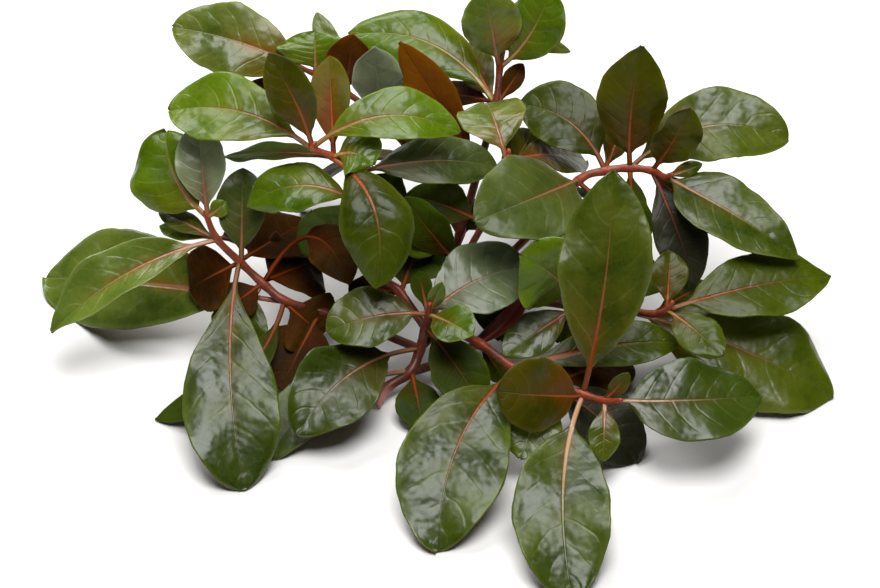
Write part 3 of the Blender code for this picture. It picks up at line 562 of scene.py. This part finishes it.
def stem_axes():
    """Each stem's points and radii. A side stem starts on the middle line of the stem that it forks from."""
    axes = {}
    for stem in STEMS:
        points = [place(*row[:3]) for row in stem.points]
        radii = [row[3] for row in stem.points]
        if stem.parent:
            parent_points, _ = axes[stem.parent]
            points.insert(0, parent_points[stem.fork].copy())
            radii.insert(0, radii[0])
        axes[stem.name] = (points, radii)
    return axes


def node_of(axes, stem_name, node):
    """A leaf node's point, its direction along the stem and the stem's radius there."""
    points, radii = axes[stem_name]
    first = len(points) - len(next(s.points for s in STEMS if s.name == stem_name))
    i = node + first
    along = (points[min(i + 1, len(points) - 1)] - points[max(i - 1, 0)]).normalized()
    return points[i], along, radii[i]


def rounded_width(leaf, blade):
    """Half the blade's width at a share of its length, with a round tip."""
    swell = math.sin(math.pi * blade ** (math.log(0.5) / math.log(leaf.widest)))
    edge = PETIOLE_WIDTH / 2 * (1 - blade) + TIP_WIDTH / 4 * blade
    rounding = leaf.base if blade < leaf.widest else leaf.point
    return max(edge, leaf.width / 2 * max(swell, 0.0) ** rounding)


def half_width(leaf, blade):
    """Half the leaf's width: its stalk, then a smooth curve through the blade's stations to its tip."""
    if blade <= 0:
        return PETIOLE_WIDTH / 2
    places = (0.0,) + BLADE_STATIONS
    widths = [PETIOLE_WIDTH / 2] + [rounded_width(leaf, b) for b in BLADE_STATIONS[:-1]] + [TIP_WIDTH / 4]
    i = max(k for k, b in enumerate(places[:-1]) if b <= blade or k == 0)

    def slope(k):
        low, high = max(k - 1, 0), min(k + 1, len(places) - 1)
        return (widths[high] - widths[low]) / (places[high] - places[low])

    gap = places[i + 1] - places[i]
    t = (blade - places[i]) / gap
    bend = (2 * t**3 - 3 * t**2 + 1, t**3 - 2 * t**2 + t, 3 * t**2 - 2 * t**3, t**3 - t**2)
    first = slope(i) if i else 0.0
    last = slope(i + 1)
    pointed = bend[0] * widths[i] + bend[1] * gap * first + bend[2] * widths[i + 1] + bend[3] * gap * last

    # A blunt leaf keeps its round tip
    blunt = ramp(0.7, 0.54, leaf.point) * ramp(0.6, 0.75, blade)
    return max(pointed * (1 - blunt) + rounded_width(leaf, blade) * blunt, TIP_WIDTH / 4)


def chance(leaf, which):
    """A number from about -0.6 to 0.6 that a leaf keeps for one of its traits."""
    return noise.noise(Vector((leaf.tip[0] * 0.71 + which * 7.3, leaf.tip[1] * 0.53, which * 3.1)))


def leaf_root(axes, leaf):
    """Where a leaf's stalk starts, just inside its stem's skin."""
    node, along, radius = node_of(axes, leaf.stem, leaf.node)
    out = place(*leaf.tip) - node
    out = (out - along * out.dot(along) * SQUARE_TO_STEM).normalized()
    return node + out * radius * STALK_START


def vein_phase(blade, side):
    """Where a point lies between side veins: a whole number is on a vein."""
    climbed = blade - VEIN_SLANT * abs(side) ** VEIN_CURVE
    return climbed * VEIN_PAIRS + (VEIN_STAGGER if side > 0 else 0.0)


def blade_lift(leaf, blade, side, half):
    """How far a point of the blade stands over its middle line, from its fold, margins and quilting."""
    roll, wave, _ = BLADE_BENDS.get(leaf.name, PLAIN_BLADE)
    far = abs(side)
    fold = leaf.fold * half * (far - 0.25 * far**3)
    edge = -(roll + UNEVEN_ROLL * chance(leaf, 3)) * half * far**3
    waves = WAVES_ALONG * blade + WAVE_SHIFT * leaf.tip[0]
    ripple = math.sin(2 * math.pi * waves + (WAVE_STAGGER if side > 0 else 0.0))
    edge += wave * leaf.width * far**2 * ripple * ramp(0.05, 0.4, blade)
    puff = math.sin(math.pi * vein_phase(blade, side)) ** 2
    uneven = noise.noise(Vector((leaf.tip[1] + blade * 5, leaf.tip[0] + side * 3, 1.7)))
    puff *= 1 + UNEVEN_QUILTING * uneven
    puff *= ramp(0.0, 0.25, far) * (1 - ramp(0.7, 1.0, far)) * ramp(0.0, 0.15, blade)
    uneven = noise.noise(Vector((leaf.tip[0] + blade * 4, leaf.tip[1] + side * 2, 0.0)))
    full = min(half / FULL_PUFFS, 1.0)
    return fold + edge + QUILTING * puff * full + UNEVEN_SURFACE * leaf.width * uneven * far


def leaf_course(leaf, axes):
    """The curve along a leaf's middle, from its stem to its tip, and the way that its upper side faces."""
    root, tip = leaf_root(axes, leaf), place(*leaf.tip)
    facing = Vector(leaf.facing).normalized()
    chord = (tip - root).normalized()
    upper = (facing - chord * facing.dot(chord)).normalized()
    side_way = upper.cross(chord)
    ends = (root, (root + tip) / 2 + upper * leaf.arch * 2 + side_way * leaf.bend * 2, tip)
    return ends, facing


def leaf_stations(leaf, rows):
    """Shares of a leaf's length at which its mesh has a row of points, on its stalk and then its blade."""
    stations = [leaf.petiole * i / PETIOLE_ROWS for i in range(PETIOLE_ROWS)]
    for i in range(rows + 1):
        share = 1 - (1 - i / rows) ** CLOSER_AT_TIP
        stations.append(leaf.petiole + (1 - leaf.petiole) * share)
    return stations


def ragged_half(leaf, blade, side):
    """Half the leaf's width on one side, with a blade's ragged and nicked margin."""
    half = half_width(leaf, blade)
    if blade > 0:
        ragged = noise.noise(Vector((blade * 6, side * 0.5 + leaf.tip[0], leaf.tip[1])))
        nicked = noise.noise(Vector((blade * 22, side * 0.5 + leaf.tip[1], leaf.tip[0])))
        half *= 1 + UNEVEN_HALVES * chance(leaf, 2) * side + RAGGED_MARGIN * ragged + NICKED_MARGIN * nicked
    return half


def leaf_point(leaf, course, t, blade, side):
    """A point on a leaf's upper side, how far from the midrib it lies and how thick the leaf is there."""
    ends, facing = course
    middle, direction = bezier(ends, t)
    normal = (facing - direction * facing.dot(direction)).normalized()
    across = normal.cross(direction)
    on_blade = max(blade, 0.0)
    twist = BLADE_BENDS.get(leaf.name, PLAIN_BLADE)[2]
    turn = (twist + UNEVEN_TWIST * chance(leaf, 4)) * on_blade
    out = across * math.cos(turn) + normal * math.sin(turn)
    normal = normal * math.cos(turn) - across * math.sin(turn)

    # The round stalk passes into a thin blade with a ridge under its midrib
    half = ragged_half(leaf, blade, side)
    reach = abs(side) * half
    stalk = 1 - ramp(0.0, STALK_END, blade)
    round_half = PETIOLE_THICKNESS / 2 * math.sqrt(max(1 - side**2, 0.02))
    flat = BLADE_THICKNESS + (EDGE_THICKNESS - BLADE_THICKNESS) * side**4
    rib = RIB_HEIGHT * (1 - ramp(0.0, RIB_REACH, reach)) * (1 - RIB_FADE * on_blade)
    top = stalk * round_half + (1 - stalk) * flat / 2
    thick = stalk * 2 * round_half + (1 - stalk) * (flat + rib)
    lift = blade_lift(leaf, on_blade, side, half) * (1 - stalk)
    point = middle + out * side * half + normal * (lift + top)
    point.z = max(point.z, thick + FLOOR_GAP)
    return point, reach, thick


def leaf_tints(leaf, look, blade, side, reach):
    """What a point of a leaf tells its skins: where it lies, and its tone, warmth and redness."""
    far = abs(side)
    on_blade = max(blade, 0.0)
    rib_half = RIB_AT_BASE + (RIB_AT_TIP - RIB_AT_BASE) * on_blade
    warm = look.blush_share * BASE_WARMTH.get(leaf.name, 1.0) * (1 + UNEVEN_WARMTH * side * chance(leaf, 5))
    warm *= 1 - WARM_FADE * ramp(0.05, 0.6, blade)
    beside_rib = (1 - ramp(0.0, WARM_REACH, reach)) * (1 - ramp(0.35, 0.9, blade))
    return {
        "along": blade,
        "rib": reach / RIB_WIDTHS.get(leaf.name, 1.0) / rib_half,
        "phase": vein_phase(on_blade, side),
        "vein_fade": ramp(0.0, 0.08, blade) * (1 - ramp(0.7, 0.95, far)),
        "margin": ramp(0.86, 1.0, far),
        "tone": 0.5 + UNEVEN_TONE * chance(leaf, 1) + LIGHTER_TIP * (on_blade - 0.5),
        "warmth": warm + look.blush_share * beside_rib,
        "redness": RIB_REDNESS.get(leaf.name, PLAIN_REDNESS + UNEVEN_REDNESS * chance(leaf, 6)),
    }


def leaf_piece(leaf, axes, rows, columns):
    """A leaf's veined blade and round stalk as one closed mesh: a grid along its midrib, thickened down."""
    course = leaf_course(leaf, axes)
    stations = leaf_stations(leaf, rows)
    look = OTHER_LOOKS.get(leaf.name, leaf.colour)
    bm = bmesh.new()
    bmesh.ops.create_grid(bm, x_segments=len(stations) - 1, y_segments=columns, size=1.0)
    layers = {mark: bm.verts.layers.float.new(mark) for mark in LEAF_MARKS + ("thick",)}
    for vertex in bm.verts:
        t = stations[round((vertex.co.x + 1) / 2 * (len(stations) - 1))]
        blade = (t - leaf.petiole) / (1 - leaf.petiole)
        side = math.copysign(ramp(0.0, 1.0, abs(vertex.co.y)), vertex.co.y)
        point, reach, thick = leaf_point(leaf, course, t, blade, side)
        vertex.co = point * MM
        for mark, value in leaf_tints(leaf, look, blade, side, reach).items():
            vertex[layers[mark]] = value
        vertex[layers["thick"]] = thick / (2 * PETIOLE_THICKNESS)
    mesh = bpy.data.meshes.new(leaf.name)
    bm.to_mesh(mesh)
    bm.free()
    piece = bpy.data.objects.new(leaf.name.removesuffix("_leaf") + "_blade", mesh)
    bpy.context.scene.collection.objects.link(piece)

    weights = piece.vertex_groups.new(name="thickness")
    for vertex, value in zip(mesh.vertices, mesh.attributes["thick"].data):
        weights.add([vertex.index], value.value, "REPLACE")
    mesh.materials.append(upper_skin(look))
    mesh.materials.append(lower_skin(look))
    solid = piece.modifiers.new("Thickness", "SOLIDIFY")
    solid.thickness = 2 * PETIOLE_THICKNESS * MM
    solid.offset = -1.0
    solid.vertex_group = weights.name
    solid.material_offset = 1
    solid.material_offset_rim = 1
    mesh.shade_smooth()
    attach(piece, "root")
    return piece


def stem_tube(stem, points, radii):
    """A smooth tube through a stem's points, swollen at its leaf nodes."""
    rows = []
    for i in range(len(points) - 1):
        steps = max(2, round((points[i + 1] - points[i]).length / STEM_STEP))
        for step in range(steps):
            t = step / steps
            rows.append((catmull(points, i, t), radii[i] * (1 - t) + radii[i + 1] * t))
    rows.append((points[-1], radii[-1]))
    curve = bpy.data.curves.new(stem.name, "CURVE")
    curve.dimensions = "3D"
    curve.bevel_depth = MM
    curve.bevel_resolution = STEM_ROUNDNESS
    curve.use_fill_caps = True
    spline = curve.splines.new("POLY")
    spline.points.add(len(rows) - 1)
    for control, (point, radius) in zip(spline.points, rows):
        near = min((point - node).length for node in points[1:])
        swelling = 1 + (NODE_SWELLING - 1) * math.exp(-((near / NODE_LENGTH) ** 2))
        control.co = (*(point * MM), 1.0)
        control.radius = radius * STEM_SLIMNESS * swelling * (1 + STEM_UNEVENNESS * noise.noise(point * 0.5))
    line = bpy.data.objects.new(stem.name + "_line", curve)
    bpy.context.scene.collection.objects.link(line)
    bpy.context.view_layer.update()
    mesh = bpy.data.meshes.new_from_object(line.evaluated_get(bpy.context.evaluated_depsgraph_get()))
    bpy.data.objects.remove(line)
    return mesh


def stem_piece(stem, axes):
    """A stem's skin, whose points know how near a node or the cut end they lie and how deep in the shade."""
    points, radii = axes[stem.name]
    mesh = stem_tube(stem, points, radii)
    bm = bmesh.new()
    bm.from_mesh(mesh)
    bmesh.ops.remove_doubles(bm, verts=bm.verts, dist=WELD * MM)
    bmesh.ops.recalc_face_normals(bm, faces=bm.faces)
    near_node = bm.verts.layers.float.new("near_node")
    near_cut = bm.verts.layers.float.new("near_cut")
    shaded = bm.verts.layers.float.new("shaded")
    for vertex in bm.verts:
        near = min((vertex.co / MM - node).length for node in points[1:])
        orange = NODE_COLOUR.get(stem.name, PLAIN_NODE)
        vertex[near_node] = orange * math.exp(-((near / (2 * NODE_LENGTH)) ** 2))
        vertex[shaded] = max(1 - ramp(*SHADED_HEIGHTS, vertex.co.z / MM), STEM_SHADE.get(stem.name, 0.0))
        if stem.parent is None:
            vertex[near_cut] = 1 - ramp(*CUT_REACH, (vertex.co / MM - points[0]).length)
    bm.to_mesh(mesh)
    bm.free()
    piece = bpy.data.objects.new(stem.name + "_skin", mesh)
    bpy.context.scene.collection.objects.link(piece)
    mesh.materials.clear()
    mesh.materials.append(stem_skin())
    mesh.shade_smooth()
    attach(piece, "root")
    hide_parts(stem.name)
    return piece


def add(tree, kind, inputs, output=0, **settings):
    """One output of a new shader node with its settings, its inputs set to values or linked from outputs.

    A colour Mix node takes its share and its two colours as inputs 0, 6 and 7, and gives output 2.
    """
    made = tree.nodes.new("ShaderNode" + kind)
    for key, value in settings.items():
        setattr(made, key, value)
    for key, value in inputs.items():
        if isinstance(value, bpy.types.NodeSocket):
            tree.links.new(value, made.inputs[key])
        else:
            made.inputs[key].default_value = value
    return made.outputs[output]


def new_material(name):
    """An empty material that ends in a Principled shader."""
    made = bpy.data.materials.new(name)
    made.use_nodes = True
    return made, made.node_tree, made.node_tree.nodes["Principled BSDF"]


def leaf_marks(tree):
    """Where a leaf shows its midrib, side veins, fine net of veins, blotches and puckers, from 0 to 1."""
    marks = {name: add(tree, "Attribute", {}, "Fac", attribute_name=name) for name in LEAF_MARKS}
    here = add(tree, "TexCoord", {}, "Object")
    marks["blotch"] = add(tree, "TexNoise", {"Vector": here, "Scale": 1 / (BLOTCH * MM), "Detail": 3.0})
    marks["pucker"] = add(tree, "TexNoise", {"Vector": here, "Scale": 1 / (PUCKER * MM), "Detail": 1.0})
    marks["midrib"] = add(
        tree, "MapRange", {"Value": marks["rib"], "From Min": 0.35, "To Min": 1.0, "To Max": 0.0},
        interpolation_type="SMOOTHSTEP")

    # Side veins wander a little, show where their phase passes a whole number, and fade in some blotches
    wander = add(tree, "TexNoise", {"Vector": here, "Scale": 1 / (VEIN_WANDER * MM)})
    wander = add(tree, "MapRange", {"Value": wander, "To Min": -VEIN_BEND, "To Max": VEIN_BEND})
    phase = add(tree, "Math", {0: marks["phase"], 1: wander}, operation="ADD")
    line = add(tree, "Math", {0: phase, 1: 0.5}, operation="PINGPONG")
    line = add(
        tree, "MapRange", {"Value": line, "From Max": VEIN_LINE, "To Min": 1.0, "To Max": 0.0},
        interpolation_type="SMOOTHSTEP")
    line = add(tree, "Math", {0: line, 1: marks["vein_fade"]}, operation="MULTIPLY")
    clear = add(tree, "MapRange", {
        "Value": marks["blotch"], "From Min": 0.4, "From Max": 0.65, "To Min": 0.3})
    marks["veins"] = add(tree, "Math", {0: line, 1: clear}, operation="MULTIPLY")

    cells = add(
        tree, "TexVoronoi", {"Vector": here, "Scale": 1 / (NET * MM)}, "Distance", feature="DISTANCE_TO_EDGE")
    marks["net"] = add(
        tree, "MapRange", {"Value": cells, "From Max": NET_LINE, "To Min": 1.0, "To Max": 0.0},
        interpolation_type="SMOOTHSTEP")
    return marks


def flesh_colour(tree, marks, look, first, second):
    """Two tones in soft patches, and a warm tint towards the stalk."""
    patch = add(tree, "MapRange", {
        "Value": marks["blotch"], "From Min": 0.25, "From Max": 0.75, "To Min": -0.45, "To Max": 0.45})
    tone = add(tree, "Math", {0: marks["tone"], 1: patch}, operation="ADD", use_clamp=True)
    colour = add(tree, "Mix", {0: tone, 6: colour_of(first), 7: colour_of(second)}, 2, data_type="RGBA")
    patch = add(
        tree, "MapRange", {"Value": marks["blotch"], "From Min": 0.35, "From Max": 0.65, "To Min": 0.25},
        interpolation_type="SMOOTHSTEP")
    warm = add(tree, "Math", {0: patch, 1: marks["warmth"]}, operation="MULTIPLY", use_clamp=True)
    return add(tree, "Mix", {0: warm, 6: colour, 7: colour_of(look.blush)}, 2, data_type="RGBA")


def midrib_colour(tree, marks, look):
    """A midrib's own colour near the stalk and the side veins' towards the tip, both reddened."""
    turn = add(tree, "MapRange", {"Value": marks["along"], "From Min": 0.25, "From Max": 0.7})
    colour = add(tree, "Mix", {0: turn, 6: colour_of(look.rib), 7: colour_of(look.vein)}, 2, data_type="RGBA")
    redder = add(tree, "MapRange", {
        "Value": marks["along"], "From Min": 0.1, "From Max": 0.9, "To Min": 1.0, "To Max": 0.3})
    redder = add(tree, "Math", {0: redder, 1: marks["redness"]}, operation="MULTIPLY", use_clamp=True)
    return add(tree, "Mix", {0: redder, 6: colour, 7: colour_of(RED_RIB)}, 2, data_type="RGBA")


def leaf_colour(tree, marks, look, first, second, vein_share):
    """A skin's colour: its flesh, with net, side veins and margin faint over it, and then the midrib."""
    colour = flesh_colour(tree, marks, look, first, second)
    faint = add(tree, "Math", {0: marks["net"], 1: NET_SHARE}, operation="MULTIPLY")
    faint = add(tree, "Math", {0: marks["veins"], 1: vein_share, 2: faint}, operation="MULTIPLY_ADD")
    faint = add(tree, "Math", {0: marks["margin"], 1: MARGIN_SHARE, 2: faint}, operation="MULTIPLY_ADD")
    colour = add(tree, "Mix", {0: faint, 6: colour, 7: colour_of(look.vein)}, 2, data_type="RGBA")
    fade = add(tree, "MapRange", {
        "Value": marks["along"], "From Min": 0.15, "From Max": 0.85, "To Min": 0.9, "To Max": 0.15})
    rib = add(tree, "Math", {0: marks["midrib"], 1: fade}, operation="MULTIPLY")
    return add(tree, "Mix", {0: rib, 6: colour, 7: midrib_colour(tree, marks, look)}, 2, data_type="RGBA")


def upper_skin(look):
    """A leaf's upper skin: a smooth waxy surface grown over green flesh, so it shows soft wide highlights,
    faint veins just under it and a puckered relief."""
    name = look.name + "_leaf_upper_cuticle"
    if name in bpy.data.materials:
        return bpy.data.materials[name]
    made, tree, shader = new_material(name)
    marks = leaf_marks(tree)
    colour = leaf_colour(tree, marks, look, look.deep, look.light, vein_share=0.2)
    tree.links.new(colour, shader.inputs["Base Color"])

    # Veins lie sunk in a softly puckered blade
    sunk = add(tree, "Math", {0: marks["veins"], 1: -0.2, 2: marks["pucker"]}, operation="MULTIPLY_ADD")
    sunk = add(tree, "Math", {0: marks["midrib"], 1: -0.4, 2: sunk}, operation="MULTIPLY_ADD")
    bump = add(tree, "Bump", {"Strength": 0.6, "Distance": 0.45 * MM, "Height": sunk})
    tree.links.new(bump, shader.inputs["Normal"])
    rough = add(tree, "MapRange", {
        "Value": marks["blotch"], "From Min": 0.3, "From Max": 0.7, "To Min": look.roughness - 0.05,
        "To Max": look.roughness + 0.1})
    tree.links.new(rough, shader.inputs["Roughness"])
    shader.inputs["IOR"].default_value = 1.45
    shader.inputs["Specular IOR Level"].default_value = look.shine
    shader.inputs["Subsurface Weight"].default_value = 0.2
    shader.inputs["Subsurface Radius"].default_value = (1.0, 1.0, 0.2)
    shader.inputs["Subsurface Scale"].default_value = 0.7 * MM
    return made


def lower_skin(look):
    """A leaf's underside and edge: the same flesh without the wax, reddened by light-shielding pigment, so it
    is duller and warmer, with raised veins."""
    name = look.name + "_leaf_underside"
    if name in bpy.data.materials:
        return bpy.data.materials[name]
    made, tree, shader = new_material(name)
    marks = leaf_marks(tree)
    colour = leaf_colour(tree, marks, look, look.back, look.deep, vein_share=0.35)
    tree.links.new(colour, shader.inputs["Base Color"])

    # Veins stand out of a softly puckered underside
    raised = add(tree, "Math", {0: marks["veins"], 1: 0.5, 2: marks["pucker"]}, operation="MULTIPLY_ADD")
    bump = add(tree, "Bump", {"Strength": 0.5, "Distance": 0.3 * MM, "Height": raised})
    tree.links.new(bump, shader.inputs["Normal"])
    shader.inputs["Roughness"].default_value = 0.55
    shader.inputs["Specular IOR Level"].default_value = 0.3
    return made


def stem_skin():
    """Stem skin: a thin smooth rind over watery flesh, red-brown where light has coloured it and orange at
    the leaf nodes, with a soft wet-looking highlight and faint paler flecks, and pale pith at the cut."""
    name = "stem_rind"
    if name in bpy.data.materials:
        return bpy.data.materials[name]
    made, tree, shader = new_material(name)
    near_node = add(tree, "Attribute", {}, "Fac", attribute_name="near_node")
    near_cut = add(tree, "Attribute", {}, "Fac", attribute_name="near_cut")
    shaded = add(tree, "Attribute", {}, "Fac", attribute_name="shaded")
    here = add(tree, "TexCoord", {}, "Object")
    patch = add(tree, "TexNoise", {"Vector": here, "Scale": 1 / (RIND_PATCH * MM), "Detail": 3.0})
    fleck = add(tree, "TexNoise", {"Vector": here, "Scale": 1 / (RIND_FLECK * MM), "Detail": 2.0})
    share = add(tree, "MapRange", {"Value": patch, "From Min": 0.3, "From Max": 0.7})
    colour = add(
        tree, "Mix", {0: share, 6: colour_of(DARK_RIND), 7: colour_of(LIGHT_RIND)}, 2, data_type="RGBA")
    colour = add(tree, "Mix", {0: near_node, 6: colour, 7: colour_of(NODE_RIND)}, 2, data_type="RGBA")
    share = add(tree, "MapRange", {"Value": fleck, "From Min": 0.45, "From Max": 0.75, "To Max": 0.55})
    colour = add(tree, "Mix", {0: share, 6: colour, 7: colour_of(FLECKED_RIND)}, 2, data_type="RGBA")
    share = add(tree, "Math", {0: shaded, 1: 0.7}, operation="MULTIPLY")
    colour = add(tree, "Mix", {0: share, 6: colour, 7: colour_of(SHADED_RIND)}, 2, data_type="RGBA")
    colour = add(tree, "Mix", {0: near_cut, 6: colour, 7: colour_of(PITH)}, 2, data_type="RGBA")
    tree.links.new(colour, shader.inputs["Base Color"])
    bump = add(tree, "Bump", {"Strength": 0.4, "Distance": 0.15 * MM, "Height": fleck})
    tree.links.new(bump, shader.inputs["Normal"])
    shader.inputs["Roughness"].default_value = 0.42
    return made


def studio_floor():
    """A wide floor of matt pale card, which scatters the light evenly and shows no highlight."""
    bm = bmesh.new()
    bmesh.ops.create_grid(bm, x_segments=1, y_segments=1, size=FLOOR_REACH)
    mesh = bpy.data.meshes.new("floor")
    bm.to_mesh(mesh)
    bm.free()
    floor = bpy.data.objects.new("floor", mesh)
    bpy.context.scene.collection.objects.link(floor)
    made, _, shader = new_material("pale_floor")
    shader.inputs["Base Color"].default_value = colour_of("#f4f3f1")
    shader.inputs["Roughness"].default_value = 0.7
    mesh.materials.append(made)


def studio_light():
    """A wide soft light over the back of the plant, one overhead and a weak even fill."""
    world = bpy.data.worlds.new("studio")
    world.use_nodes = True
    background = world.node_tree.nodes["Background"]
    background.inputs["Color"].default_value = colour_of("#ffffff")
    background.inputs["Strength"].default_value = FILL_LIGHT
    bpy.context.scene.world = world
    for name, at, size, watts in SOFTBOXES:
        lamp = bpy.data.lights.new(name, "AREA")
        lamp.shape = "SQUARE"
        lamp.size = size
        lamp.energy = watts
        light = bpy.data.objects.new(name, lamp)
        light.location = at
        light.rotation_euler = (LIT_POINT - Vector(at)).to_track_quat("-Z", "Y").to_euler()
        bpy.context.scene.collection.objects.link(light)


def photograph_camera():
    """A camera that sees the plant as the photograph does, and takes in the view's width."""
    back = toward_eye()
    lens = bpy.data.cameras.new("camera")
    lens.angle = 2 * math.atan(VIEW_WIDTH / 2 / VIEW_DISTANCE)
    camera = bpy.data.objects.new("camera", lens)
    camera.location = (VIEW_CENTRE + VIEW_DISTANCE * back) * MM
    camera.rotation_euler = (-back).to_track_quat("-Z", "Y").to_euler()
    bpy.context.scene.collection.objects.link(camera)
    bpy.context.scene.camera = camera


def build():
    """Every stem and leaf, then the floor, the light and the camera."""
    axes = stem_axes()
    for stem in STEMS:
        stem_piece(stem, axes)
    for leaf in LEAVES:
        piece = leaf_piece(leaf, axes, LARGE_LEAF_ROWS, LARGE_LEAF_COLUMNS)
        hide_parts(leaf.name)
    for leaf in YOUNG_LEAVES:
        leaf_piece(leaf, axes, YOUNG_LEAF_ROWS, YOUNG_LEAF_COLUMNS)
    studio_floor()
    studio_light()
    photograph_camera()
    bpy.context.scene.view_settings.view_transform = "Standard"


build()
